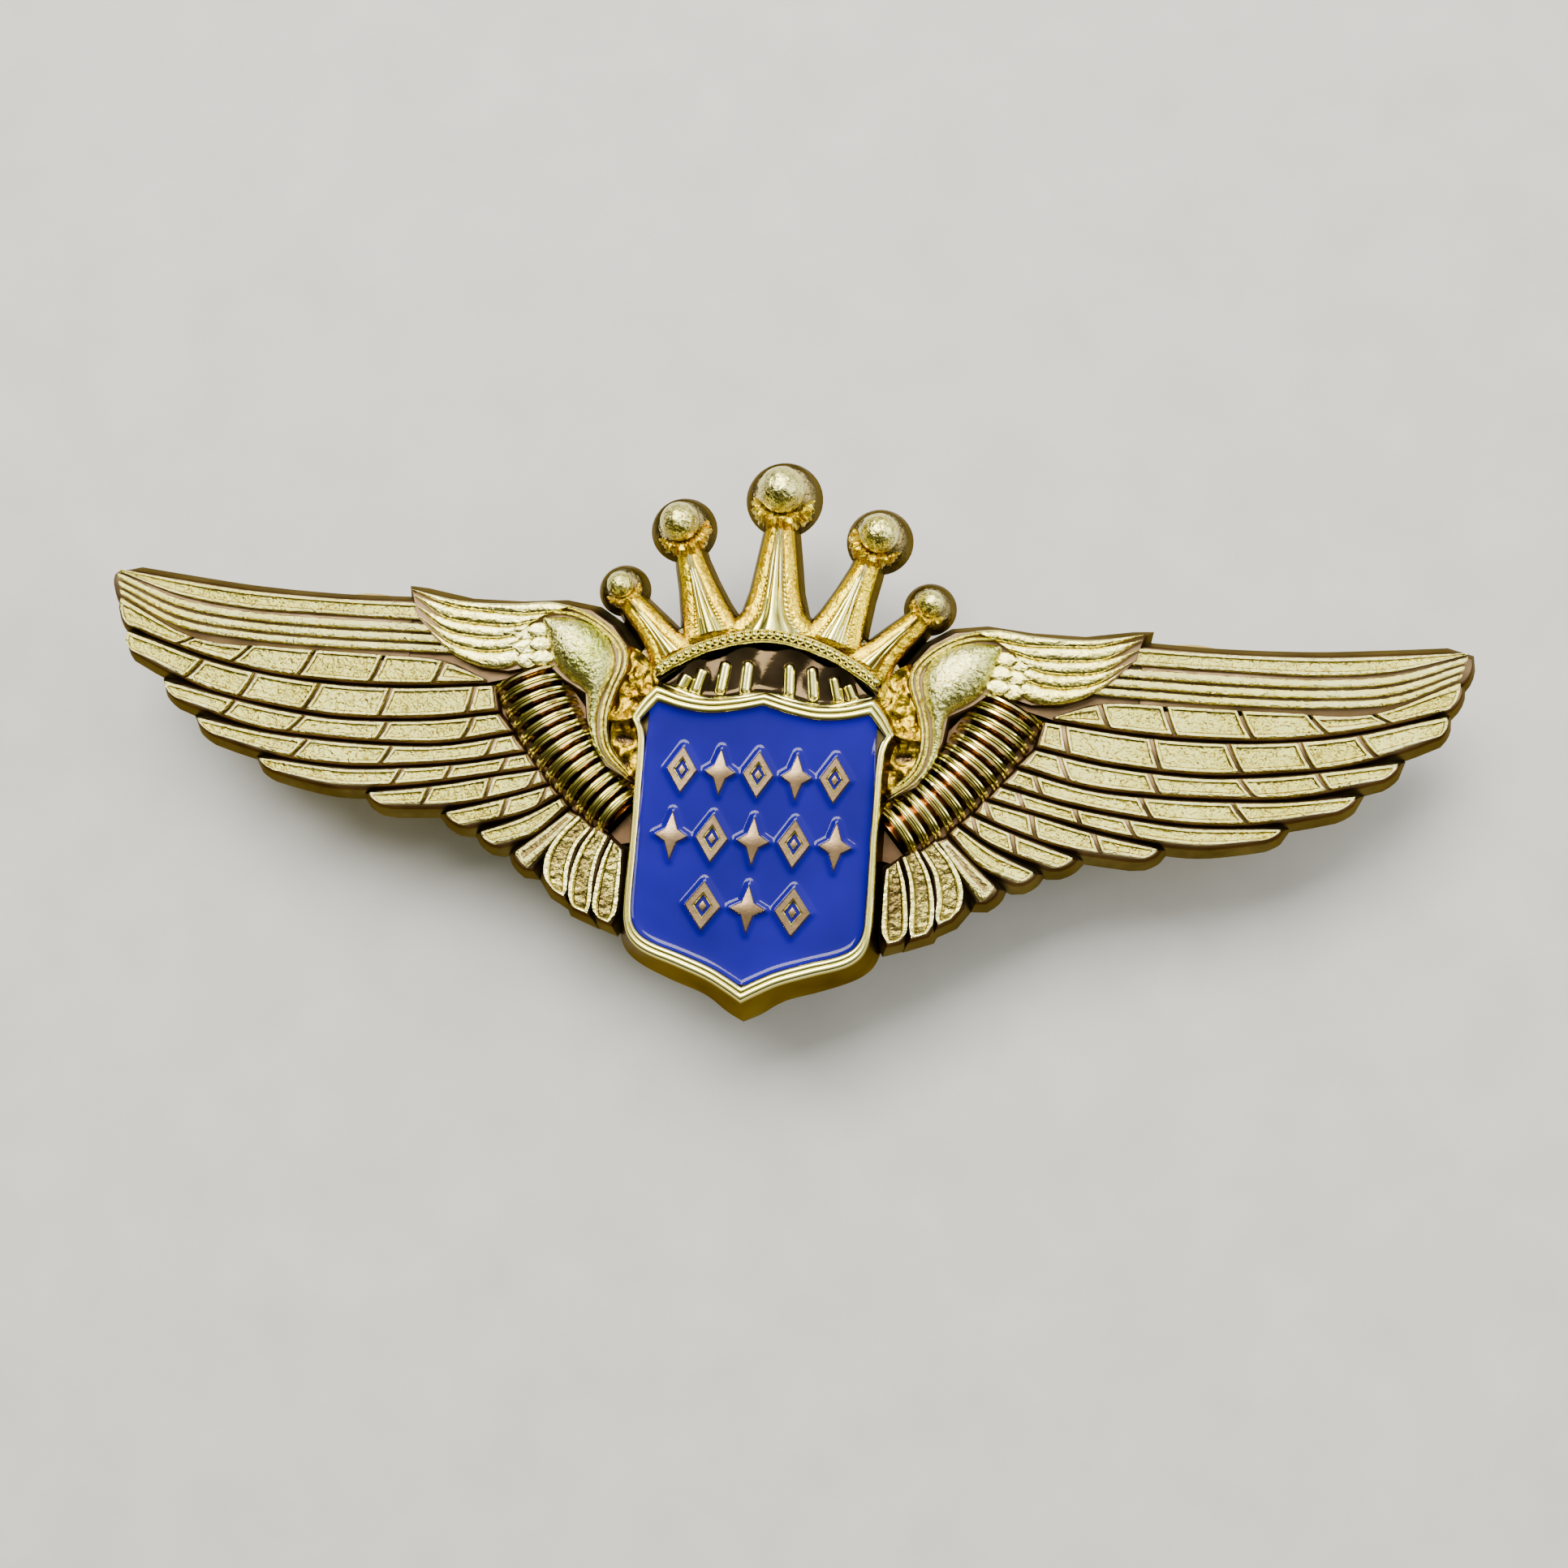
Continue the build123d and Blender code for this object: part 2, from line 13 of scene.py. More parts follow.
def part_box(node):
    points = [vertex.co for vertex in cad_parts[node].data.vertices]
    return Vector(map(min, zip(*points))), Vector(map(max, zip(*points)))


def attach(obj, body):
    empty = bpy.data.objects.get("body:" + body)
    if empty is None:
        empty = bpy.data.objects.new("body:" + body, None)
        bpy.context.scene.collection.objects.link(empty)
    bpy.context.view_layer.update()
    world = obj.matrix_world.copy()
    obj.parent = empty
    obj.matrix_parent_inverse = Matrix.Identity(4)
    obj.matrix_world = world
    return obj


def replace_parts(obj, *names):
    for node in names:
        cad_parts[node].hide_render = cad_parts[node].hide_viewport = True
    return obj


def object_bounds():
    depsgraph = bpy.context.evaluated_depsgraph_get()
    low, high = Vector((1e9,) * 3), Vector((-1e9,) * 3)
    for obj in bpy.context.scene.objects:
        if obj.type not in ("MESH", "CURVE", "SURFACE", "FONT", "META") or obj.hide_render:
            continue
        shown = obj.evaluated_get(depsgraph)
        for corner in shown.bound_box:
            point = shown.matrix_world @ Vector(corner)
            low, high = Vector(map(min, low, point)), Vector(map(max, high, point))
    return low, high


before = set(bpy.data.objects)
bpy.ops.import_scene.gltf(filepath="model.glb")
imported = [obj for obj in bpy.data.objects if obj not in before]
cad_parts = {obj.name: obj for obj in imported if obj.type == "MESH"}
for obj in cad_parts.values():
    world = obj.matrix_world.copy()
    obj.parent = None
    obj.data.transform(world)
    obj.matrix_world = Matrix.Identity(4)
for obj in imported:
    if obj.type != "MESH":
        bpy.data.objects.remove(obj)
CAD_BOX = [list(map(float, corner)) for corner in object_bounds()]

MM = 0.001
SHIELD_TIP_Y = -14.1
PLATE_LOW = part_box("wings_casting")[0]
BACK_Z = PLATE_LOW.z
CENTRE_Y = PLATE_LOW.y - SHIELD_TIP_Y * MM

# ---- heights above the back ----
GROOVE_H = 1.58
WING_H = 1.9
SWAN_H = 2.15
SHIELD_H = 3.0
ENAMEL_H = 2.74
ORNAMENT_FOOT_H = ENAMEL_H - 0.3
ORNAMENT_TOP_H = SHIELD_H + 0.09

# ---- the right-hand wing: feather rows as upper edge and lower edge, from the body to the tip ----
ROWS = [
    ([(15.9, 3.8), (18.3, 4.7), (22, 4.85), (28, 4.9), (33, 5.15), (37.5, 7.2)],
     [(15.9, 3.75), (20, 3.35), (24, 3.25), (28, 3.45), (32, 4.15), (36.8, 5.55)]),
    ([(15.4, 3.5), (20, 3.05), (24, 2.95), (28, 3.2), (32, 3.85), (36.85, 5.25)],
     [(15.1, 2.2), (19, 1.55), (24, 1.3), (28, 1.65), (32, 2.35), (36.4, 4.1)]),
    ([(15.0, 1.9), (19, 1.25), (24, 1.0), (28, 1.35), (32, 2.05), (34.4, 2.55)],
     [(14.2, 1.05), (18, 0.2), (22, 0.0), (26, 0.1), (29, 0.35), (33.4, 1.55)]),
    ([(14.1, 0.75), (18, -0.1), (22, -0.3), (26, -0.2), (29, 0.05), (32.25, 0.6)],
     [(13.4, 0.0), (17, -0.8), (21.5, -1.35), (24, -1.45), (27, -1.25), (31, -0.35)]),
    ([(13.2, -0.25), (17, -1.1), (21.5, -1.65), (24, -1.75), (28.4, -1.45)],
     [(12.7, -0.85), (16, -1.6), (20, -2.35), (24, -2.65), (27.3, -2.15)]),
    ([(12.4, -1.1), (15, -1.65), (18, -2.35), (21.9, -3.0)],
     [(12.0, -1.7), (14, -2.45), (17, -3.25), (21.0, -3.6)]),
    ([(11.7, -1.95), (14, -2.75), (17.4, -3.8)],
     [(11.3, -2.35), (13, -3.4), (16.4, -4.45)]),
    ([(11.0, -2.6), (13, -3.75), (15.3, -4.75)],
     [(10.7, -2.95), (12.4, -4.6), (14.5, -5.4)]),
    ([(10.5, -3.3), (11.8, -4.4), (13.3, -5.7)],
     [(10.0, -3.5), (11.2, -5.0), (12.5, -6.6)]),
]
# where each row is cut across, as x on its upper edge and x on its lower edge
ROW_CUTS = [
    [(18.3, 18.9), (21.8, 22.5), (25.8, 26.7), (29.5, 30.7), (32.9, 34.0)],
    [(16.4, 16.8), (21.2, 21.8), (25.3, 26.2), (29.1, 30.0), (32.2, 33.3)],
    [(16.3, 16.9), (21.2, 21.8), (26.0, 27.0), (30.1, 30.9)],
    [(15.0, 15.5), (20.8, 21.5), (25.7, 26.7)],
    [(14.2, 14.6), (17.3, 17.7), (20.1, 20.7)],
    [(12.4, 12.9), (15.0, 15.3), (18.4, 18.9)],
    [(11.8, 12.2), (14.0, 14.3)],
    [],
    [],
]
CUT_GAP = 0.09
ROW_SPREAD = 0.01        # feathers reach this much past their row's edges
# the plate under the leading band and ribs, as upper edge and lower edge
WING_LEAD = ([(20.5, 8.0), (25, 7.9), (30, 8.05), (34, 8.4), (37.9, 8.8)],
             [(20.5, 4.5), (28, 4.6), (33, 4.9), (37.4, 7.0)])
LEAD_BAND = ([(20.2, 7.95), (25, 7.9), (30, 8.05), (34, 8.4), (37.9, 8.8)],
             [(19.2, 6.95), (25, 6.95), (30, 7.0), (34, 7.5), (37.8, 8.7)])
LEAD_BAND_LENGTH, LEAD_BAND_WIDTH = 17.6, 0.9
# three polished ribs fill the strip between these two lines, each from one share of its width to another
RIB_STRIP = ([(17.6, 6.75), (21, 6.75), (25, 6.72), (30, 6.82), (34, 7.32), (37.8, 8.6)],
             [(17.2, 5.2), (21, 5.12), (25, 5.07), (30, 5.22), (34, 5.72), (37.45, 7.3)])
RIB_SHARES = [(0.0, 0.3), (0.37, 0.66), (0.73, 1.0)]

SWAN_OUTER = [(7.3, -1.25), (8.5, -0.3), (9.1, 0.7), (9.3, 1.9), (9.15, 3.2), (8.7, 4.4), (8.55, 5.5),
              (9.0, 6.5), (10.0, 7.25), (11.4, 7.6), (12.6, 7.5)]
SWAN_INNER = [(7.35, -1.3), (8.9, -0.15), (9.6, 1.0), (9.85, 2.3), (9.95, 3.2), (10.4, 3.7), (11.1, 4.1),
              (11.8, 4.7), (12.2, 5.4), (12.5, 6.2), (12.8, 7.2)]
SWAN_RIMS = [
    [(13.0, 8.25), (11.2, 8.1), (9.8, 7.55), (8.7, 6.75), (8.05, 5.9), (8.0, 4.95), (8.45, 3.7),
     (8.75, 2.4), (8.7, 1.2), (8.3, 0.2), (7.3, -0.85)],
    [(13.0, 7.85), (11.3, 7.8), (10.0, 7.35), (8.95, 6.6), (8.35, 5.8), (8.35, 4.9), (8.8, 3.6),
     (9.05, 2.3), (8.95, 1.0), (8.5, 0.0), (7.3, -1.1)],
]
SHOULDER_RIM = [(6.15, 3.9), (6.7, 2.95), (7.3, 2.2), (8.1, 1.98), (8.9, 1.95)]
POCKET = ([(6.3, 2.2), (7.6, 2.1), (9.4, 2.1)], [(6.3, -1.9), (7.2, -1.8), (9.4, -0.6)])
SHOULDER = ([(6.0, 4.6), (7.0, 6.0), (8.4, 6.8)], [(6.6, 1.9), (7.9, 1.85), (9.3, 1.9)])
PLUME_LINES = [
    [(11.2, 8.2), (12.5, 8.35), (14.5, 8.12), (17.5, 8.1), (20.5, 8.6)],
    [(12.4, 7.75), (14.0, 7.55), (16.0, 7.6), (18.0, 7.75), (20.35, 8.3)],
    [(13.4, 7.15), (14.6, 6.85), (16.4, 6.85), (18.4, 7.1), (20.2, 7.75)],
    [(14.1, 6.45), (15.2, 6.15), (16.6, 6.12), (18.3, 6.4), (19.9, 7.1)],
    [(14.1, 5.65), (15.2, 5.4), (16.4, 5.35), (18.0, 5.7), (19.4, 6.5)],
    [(13.9, 4.85), (14.8, 4.45), (16.2, 4.5), (17.7, 5.05), (18.9, 5.9)],
]
SCALLOPS = [(12.95, 6.75), (13.75, 6.5), (12.75, 5.95), (13.6, 5.75), (12.65, 5.2), (13.45, 5.0)]
SWAN_BODY = [(7.1, -1.4), (8.5, -0.2), (8.8, 1.0), (8.75, 2.4), (8.3, 3.8), (7.8, 5.2), (8.0, 6.2),
             (8.9, 7.3), (10.2, 8.1), (12, 8.35), (14.5, 8.12), (17.5, 8.1), (20.5, 8.6), (20.1, 7.2),
             (18.9, 5.9), (17.7, 5.05), (16.2, 4.45), (14.6, 4.35), (13.6, 4.6), (12.4, 4.9), (11.4, 4.1),
             (10.1, 3.4), (9.9, 2.0), (9.4, 0.5), (8.6, -0.6)]
SWAN_WING_BED = [(12.5, 4.6), (16.2, 3.6), (22.0, 4.6), (22.0, 7.8), (16.0, 7.5)]

HORN_LINE = [(13.55, 4.35), (12.55, 2.35), (11.35, 0.55), (10.0, -1.0), (8.6, -2.3), (7.35, -3.35)]
HORN_RINGS = 13
HORN_R = (2.15, 1.65)
HORN_AXIS_H = 1.0
HORN_RISE = 0.72
HORN_BED = [(12.0, 4.9), (14.7, 4.3), (15.4, 3.0), (14.2, 0.9), (12.2, -1.6), (10.0, -3.4), (7.9, -4.9),
            (6.6, -4.6), (6.6, -1.4), (8.3, -0.9), (9.7, 0.8), (10.1, 2.6)]
TAIL_FEATHERS = [
    ([(9.9, -3.5), (10.9, -4.6), (11.5, -5.8), (11.5, -6.9), (11.0, -7.6)],
     [(9.2, -4.1), (9.9, -5.2), (10.2, -6.5), (10.2, -7.6), (10.35, -7.95)]),
    ([(8.95, -4.1), (9.6, -5.2), (10.0, -6.6), (10.05, -7.9), (9.75, -8.5)],
     [(8.2, -4.5), (8.6, -5.6), (8.8, -7.0), (8.8, -8.2), (8.95, -8.8)]),
    ([(7.95, -4.7), (8.35, -5.8), (8.6, -7.2), (8.65, -8.5), (8.3, -9.0)],
     [(7.35, -5.2), (7.3, -6.2), (7.3, -7.4), (7.35, -8.6), (7.7, -9.2)]),
]

# ---- the crown ----
# each ball: x, y, its radius and the radius of the disc behind it
BALLS = [(0.0, 15.5, 1.30, 2.2), (5.6, 13.4, 1.10, 1.9), (8.7, 9.7, 0.75, 1.5)]
SPIKES = [
    ([(-2.2, 7.55), (-1.25, 8.5), (-0.82, 10.0), (-0.52, 12.0), (-0.14, 14.5)],
     [(2.2, 7.55), (1.25, 8.5), (0.82, 10.0), (0.52, 12.0), (0.14, 14.5)]),
    ([(2.2, 7.6), (3.2, 8.9), (4.0, 10.2), (4.7, 11.5), (5.15, 12.7)],
     [(4.5, 6.95), (4.62, 8.4), (4.85, 10.0), (5.15, 11.4), (5.33, 12.6)]),
    ([(4.75, 6.45), (5.8, 7.1), (6.8, 7.95), (7.65, 8.65), (8.35, 9.3)],
     [(6.2, 5.5), (6.6, 6.5), (7.2, 7.4), (7.95, 8.3), (8.5, 9.1)]),
]
# crumpled collars under the balls: x, y, ball radius, first and last angle
COLLARS = [(0.0, 15.5, 1.3, 188, 352), (5.6, 13.4, 1.1, 165, 325), (8.7, 9.7, 0.75, 165, 320)]
# the backing's walls: offset outwards and height, and the ground between the spikes, right-hand half
WEB_WALL = [(0.0, 1.6), (0.25, 1.5), (0.45, 1.3), (0.6, 0.85), (0.8, 0.0)]
DISC_WALL = [(-0.75, 1.14), (-0.5, 1.1), (-0.3, 0.9), (0.0, 0.0)]
CROWN_GROUND = [(0, 8.6), (2.2, 8.35), (5.2, 7.5), (6.9, 6.6), (7.9, 5.0), (6.6, 4.4), (0, 2.9)]
CROWN_GROUND_H = 1.15
BALL_FOOT_H = 1.08
SPIKE_SLIMMING = 0.2
SPIKE_FLUTES = 5
SPIKE_MILLING = 52
BAND = [(-6.2, 4.8), (-5.2, 5.52), (-3.0, 6.62), (0, 7.22), (3.0, 6.62), (5.2, 5.52), (6.2, 4.8)]
BEAD_PITCH = 0.44
BEAD_R = 0.24
BEAD_H = 2.42
BAND_H = 2.3
RAIL_OFFSET = 0.3
CAP_LOWER = [(-6.0, 4.0), (-4.5, 3.45), (-2.9, 3.2), (0, 3.7), (2.9, 3.2), (4.5, 3.45), (6.0, 4.0)]
CAP_H = 1.5
# the cap's raised flutes, from their upper end to their lower end: x, y, x, y
FLUTES = [(1.15, 5.9, 1.25, 3.9), (2.4, 5.8, 2.65, 3.8), (3.65, 5.3, 4.05, 3.8), (4.5, 4.9, 4.9, 4.0)]

# ---- the shield: right-hand half of the enamel's edge, the rim's outer edge and the foot ----
ENAMEL_EDGE = [(0, 3.2), (1.5, 2.82), (3.0, 2.6), (4.5, 2.72), (5.85, 3.05), (6.3, 2.5), (6.75, 1.95),
               (6.5, 1.5), (6.38, 0.8), (6.35, -2.0), (6.35, -5.0), (6.37, -8.0), (6.25, -9.0), (5.85, -9.65),
               (5.1, -10.1), (3.5, -10.6), (1.8, -11.2), (0.7, -11.75), (0, -12.15)]
RIM_EDGE = [(0, 3.9), (1.5, 3.55), (3.0, 3.35), (4.5, 3.5), (6.0, 3.95), (6.7, 3.1), (7.25, 2.1),
            (6.95, 1.55), (6.78, 0.8), (6.75, -2.0), (6.75, -5.0), (6.78, -8.0), (6.68, -9.2), (6.3, -10.05),
            (5.5, -10.65), (3.7, -11.25), (1.9, -11.9), (0.75, -12.5), (0, -12.95)]
SHIELD_FOOT = [(0, 4.6), (1.5, 4.2), (3.0, 4.0), (4.6, 4.2), (6.3, 4.6), (7.2, 3.4), (7.75, 2.1),
               (7.5, 1.5), (7.35, 0.8), (7.3, -2.0), (7.3, -5.0), (7.35, -8.3), (7.3, -9.7), (6.9, -10.65),
               (6.0, -11.35), (4.2, -12.1), (2.2, -12.8), (0.9, -13.65), (0, SHIELD_TIP_Y)]
SHIELD_RUNS = [(0, 4, 24), (4, 6, 12), (6, 18, 84)]     # between corners: first point, last point, steps
# the rows of raised lozenges and stars: y, how many, pitch, half width, half height
ORNAMENT_ROWS = [(-0.6, 5, 2.1, 0.85, 1.3), (-4.25, 5, 2.25, 0.9, 1.35), (-7.95, 3, 2.45, 1.0, 1.35)]
STAR_WAIST = 0.34
HOLE_SCALE = 0.46
PIP_SCALE = 0.22
ENAMEL_REACH = 6.36
ENAMEL_FOOT_H = 2.25

# ---- the clutches' squeeze wings ----
WING_SLOPE_TOP = (1.25, 2.2)    # where the slope starts, in from the wing's edge and below its top
GRIP_RIBS = 6
GRIP_LENGTH, GRIP_WIDTH, GRIP_RISE, GRIP_SINK = 5.4, 0.32, 0.2, 0.05


# ---- places and curves ----
def at(x, y, h):
    return Vector((x * MM, CENTRE_Y + y * MM, BACK_Z + h * MM))


def mix(a, b, t):
    return a + (b - a) * t


def between(a, b, t):
    """The point at share t of the way from a to b."""
    return mix(a[0], b[0], t), mix(a[1], b[1], t)


def ease(low, high, value):
    """0 at low, 1 at high and smooth between; low may be the larger."""
    t = min(max((value - low) / (high - low), 0.0), 1.0)
    return t * t * (3 - 2 * t)


def hermite(a, b, start, end, f):
    """A smooth step at share f from a to b, which leaves a with the slope start and meets b with end."""
    return ((2 * f**3 - 3 * f**2 + 1) * a + (f**3 - 2 * f**2 + f) * start
            + (3 * f**2 - 2 * f**3) * b + (f**3 - f**2) * end)


def smooth_point(points, t):
    """A point at t (0 to 1, by length) on a smooth curve through the points."""
    lengths = [math.dist(a, b) for a, b in zip(points, points[1:])]
    left = t * sum(lengths)
    i = 0
    while i < len(lengths) - 1 and left > lengths[i]:
        left -= lengths[i]
        i += 1
    f = min(left / lengths[i], 1.0)
    p1, p2 = points[i], points[i + 1]
    p0 = points[i - 1] if i else (2 * p1[0] - p2[0], 2 * p1[1] - p2[1])
    p3 = points[i + 2] if i + 2 < len(points) else (2 * p2[0] - p1[0], 2 * p2[1] - p1[1])
    span = [lengths[max(i - 1, 0)], lengths[i], lengths[min(i + 1, len(lengths) - 1)]]
    return tuple(hermite(b, c, (c - a) / (span[0] + span[1]) * span[1],
                         (d - b) / (span[1] + span[2]) * span[1], f) for a, b, c, d in zip(p0, p1, p2, p3))


def edge_y(points, x):
    """The height y of an edge that runs from left to right, at x."""
    i = 0
    while i < len(points) - 2 and x > points[i + 1][0]:
        i += 1

    def slope(k):
        a, b = points[max(k - 1, 0)], points[min(k + 1, len(points) - 1)]
        return (b[1] - a[1]) / (b[0] - a[0])

    (x1, y1), (x2, y2) = points[i], points[i + 1]
    width = x2 - x1
    f = min(max((x - x1) / width, 0.0), 1.0)
    return hermite(y1, y2, slope(i) * width, slope(i + 1) * width, f)


def across(upper, lower, u, v):
    """The point at u along two edges, and at v on the way from the lower one to the upper one."""
    return between(smooth_point(lower, u), smooth_point(upper, u), v)


def evenly(points, spacing):
    """The same closed outline with points about the spacing apart, corners kept."""
    out = []
    for a, b in zip(points, points[1:] + points[:1]):
        steps = max(1, round(math.dist(a, b) / spacing))
        out += [between(a, b, k / steps) for k in range(steps)]
    return out


MITRE_LIMIT = 0.65


def offset_outline(points, amount):
    """A closed outline moved outwards by the amount, its sharpest corners held back."""
    area = sum(a[0] * b[1] - b[0] * a[1] for a, b in zip(points, points[1:] + points[:1]))
    turn = 1 if area > 0 else -1
    out = []
    for i, p in enumerate(points):
        a, b = points[i - 1], points[(i + 1) % len(points)]
        n1 = Vector((p[1] - a[1], a[0] - p[0])).normalized() * turn
        n2 = Vector((b[1] - p[1], p[0] - b[0])).normalized() * turn
        n = (n1 + n2).normalized()
        reach = amount / max(n.dot(n1), MITRE_LIMIT)
        out.append((p[0] + n.x * reach, p[1] + n.y * reach))
    return out


def both_halves(half):
    """A whole closed outline from its right-hand half, which runs from top to bottom."""
    return half + [(-x, y) for x, y in half[-2:0:-1]]


# ---- modelling ----
def only(piece):
    bpy.ops.object.select_all(action="DESELECT")
    piece.select_set(True)
    bpy.context.view_layer.objects.active = piece


def moulded(name, columns, rows, place):
    """A grid of cells laid where place(i, j) puts each corner."""
    bpy.ops.object.select_all(action="DESELECT")
    bpy.ops.mesh.primitive_grid_add(x_subdivisions=columns, y_subdivisions=rows, size=2)
    piece = bpy.context.object
    piece.name = piece.data.name = name
    for vertex in piece.data.vertices:
        i = round((vertex.co.x + 1) / 2 * columns)
        j = round((vertex.co.y + 1) / 2 * rows)
        vertex.co = at(*place(i, j))
    return piece


def joined(name, pieces):
    bpy.ops.object.select_all(action="DESELECT")
    for piece in pieces:
        piece.select_set(True)
    bpy.context.view_layer.objects.active = pieces[0]
    if len(pieces) > 1:
        bpy.ops.object.join()
    whole = bpy.context.object
    whole.name = whole.data.name = name
    return whole


def closed(piece, crease=35):
    """Weld seams, close every open edge, turn the faces outwards and smooth up to the crease angle."""
    only(piece)
    bpy.ops.object.mode_set(mode="EDIT")
    bpy.ops.mesh.select_all(action="SELECT")
    bpy.ops.mesh.remove_doubles(threshold=1e-6)
    bpy.ops.mesh.fill_holes(sides=0)
    bpy.ops.mesh.select_all(action="SELECT")
    bpy.ops.mesh.normals_make_consistent(inside=False)
    bpy.ops.object.mode_set(mode="OBJECT")
    bpy.ops.object.shade_smooth_by_angle(angle=math.radians(crease))
    return piece


def twin(piece, name):
    """The left-hand copy of a right-hand piece."""
    only(piece)
    bpy.ops.object.duplicate()
    copy = bpy.context.object
    copy.name = copy.data.name = name
    bpy.ops.object.mode_set(mode="EDIT")
    bpy.ops.mesh.select_all(action="SELECT")
    bpy.ops.transform.resize(value=(-1, 1, 1), center_override=(0, 0, 0))
    bpy.ops.mesh.flip_normals()
    bpy.ops.object.mode_set(mode="OBJECT")
    return copy


def blade(name, upper, lower, columns, rows, height, base=GROOVE_H):
    """A form between two edges, height(u, v) high, with walls down to base all round."""
    def place(i, j):
        u = min(max((i - 1) / (columns - 2), 0.0), 1.0)
        v = min(max((j - 1) / (rows - 2), 0.0), 1.0)
        v = (1 - math.cos(math.pi * v)) / 2
        wall = i in (0, columns) or j in (0, rows)
        return (*across(upper, lower, u, v), base if wall else height(u, v))
    return moulded(name, columns, rows, place)


def dome(v):
    return math.sqrt(max(0.0, 1 - (2 * v - 1) ** 2))


def ridge(name, points, width, rise, base, columns):
    """A half-round line standing on base, tapered at both ends."""
    sides = 6

    def place(i, j):
        u = i / columns
        x, y = smooth_point(points, u)
        x2, y2 = smooth_point(points, min(u + 0.01, 1.0))
        x1, y1 = smooth_point(points, max(u - 0.01, 0.0))
        run = math.dist((x1, y1), (x2, y2))
        taper = math.sqrt(min(1.0, 12 * min(u, 1 - u) + 0.08))
        angle = math.pi * j / sides
        side = math.cos(angle) * width / 2 * taper
        return x - (y2 - y1) / run * side, y + (x2 - x1) / run * side, base + math.sin(angle) * rise * taper
    return moulded(name, columns, sides, place)


def drafted(name, outline, profile, spacing=0.3):
    """A body with the outline, whose wall follows the profile: offset outwards and height, top first."""
    outline = evenly(outline, spacing)
    loops = [offset_outline(outline, amount) for amount, h in profile]
    return moulded(name, len(outline), len(profile) - 1,
                   lambda i, j: (*loops[j][i % len(outline)], profile[j][1]))


def wear(x, y, h, size):
    """Smooth noise, about -1 to 1, on a scale in millimetres."""
    return noise.noise(Vector((x / size, y / size, h / size)))


# ---- feathers ----
# the section of a feather's rim: distances in from its edge, and heights there from the wing's
RIM_STOPS = (0.0, 0.03, 0.07, 0.19, 0.25, 0.31)
RIM_HEIGHTS = (-0.4, -0.05, 0.0, 0.0, -0.1, -0.13)
FEATHER_STEP = 0.1       # between the cells of a tray
NARROWEST = 0.3          # the least width that cells are laid out for
PEBBLE_RISE = 0.05
PEBBLE_COARSE, PEBBLE_FINE = 0.24, 0.12
TIP_ROUNDING = 0.32      # how far a tip bows out and is set back, in widths of the feather
TIP_SET_BACK = 0.1


def stops(length, step):
    """Distances along a panel: close together at both rims and even between them."""
    scale = min(1.0, length / (2.6 * RIM_STOPS[-1]))
    rim = [s * scale for s in RIM_STOPS]
    inner = max(1, round((length - 2 * rim[-1]) / step))
    middle = [mix(rim[-1], length - rim[-1], k / inner) for k in range(1, inner)]
    return rim + middle + [length - s for s in rim[::-1]]


def inset(lengthways, crossways, i, j):
    """How far the corner i, j of a panel lies in from its nearest edge."""
    return min(lengthways[i], lengthways[-1] - lengthways[i], crossways[j], crossways[-1] - crossways[j])


def rim_height(distance):
    for k in range(1, len(RIM_STOPS)):
        if distance <= RIM_STOPS[k]:
            t = (distance - RIM_STOPS[k - 1]) / (RIM_STOPS[k] - RIM_STOPS[k - 1])
            return mix(RIM_HEIGHTS[k - 1], RIM_HEIGHTS[k], t)
    return RIM_HEIGHTS[-1]


def tip_reach(v, width):
    """How far a rounded feather tip stands out past its cut, at v across it."""
    return TIP_ROUNDING * width * dome(v)


def feather_panel(row, start, end, tip):
    """One feather, a shallow tray with a raised rim, between two slanting cuts of a row."""
    upper, lower = ROWS[row]
    length = (end[0] + end[1] - start[0] - start[1]) / 2
    mid = [(a + b) / 2 for a, b in zip(start, end)]
    width = abs(edge_y(upper, mid[0]) - edge_y(lower, mid[1]))
    lengthways, crossways = stops(length, FEATHER_STEP), stops(max(width, NARROWEST), FEATHER_STEP)

    def place(i, j):
        u, v = lengthways[i] / lengthways[-1], crossways[j] / crossways[-1]
        xu, xl = mix(start[0], end[0], u), mix(start[1], end[1], u)
        x = mix(xl, xu, v ** 0.75)
        y = mix(edge_y(lower, xl) - ROW_SPREAD, edge_y(upper, xu) + ROW_SPREAD, v)
        if tip:
            x += tip_reach(v, width) * ease(0.5, 1.0, u) - TIP_SET_BACK * width * u
        edge = inset(lengthways, crossways, i, j)
        h = WING_H + rim_height(edge)
        if edge > RIM_STOPS[-1]:
            h += PEBBLE_RISE * (wear(x, y, 0.0, PEBBLE_COARSE) + 0.5 * wear(x, y, 5.0, PEBBLE_FINE))
        return x, y, h
    return moulded("feather", len(lengthways) - 1, len(crossways) - 1, place)


def row_feathers(row):
    upper, lower = ROWS[row]
    cuts = ROW_CUTS[row]
    starts = [(upper[0][0], lower[0][0])] + [(a + CUT_GAP, b + CUT_GAP) for a, b in cuts]
    ends = [(a - CUT_GAP, b - CUT_GAP) for a, b in cuts] + [(upper[-1][0], lower[-1][0])]
    return [feather_panel(row, s, e, k == len(cuts)) for k, (s, e) in enumerate(zip(starts, ends))]


def make_feathers():
    feathers = [feather for row in range(len(ROWS)) for feather in row_feathers(row)]
    return closed(joined("feathers_right", feathers), 50)


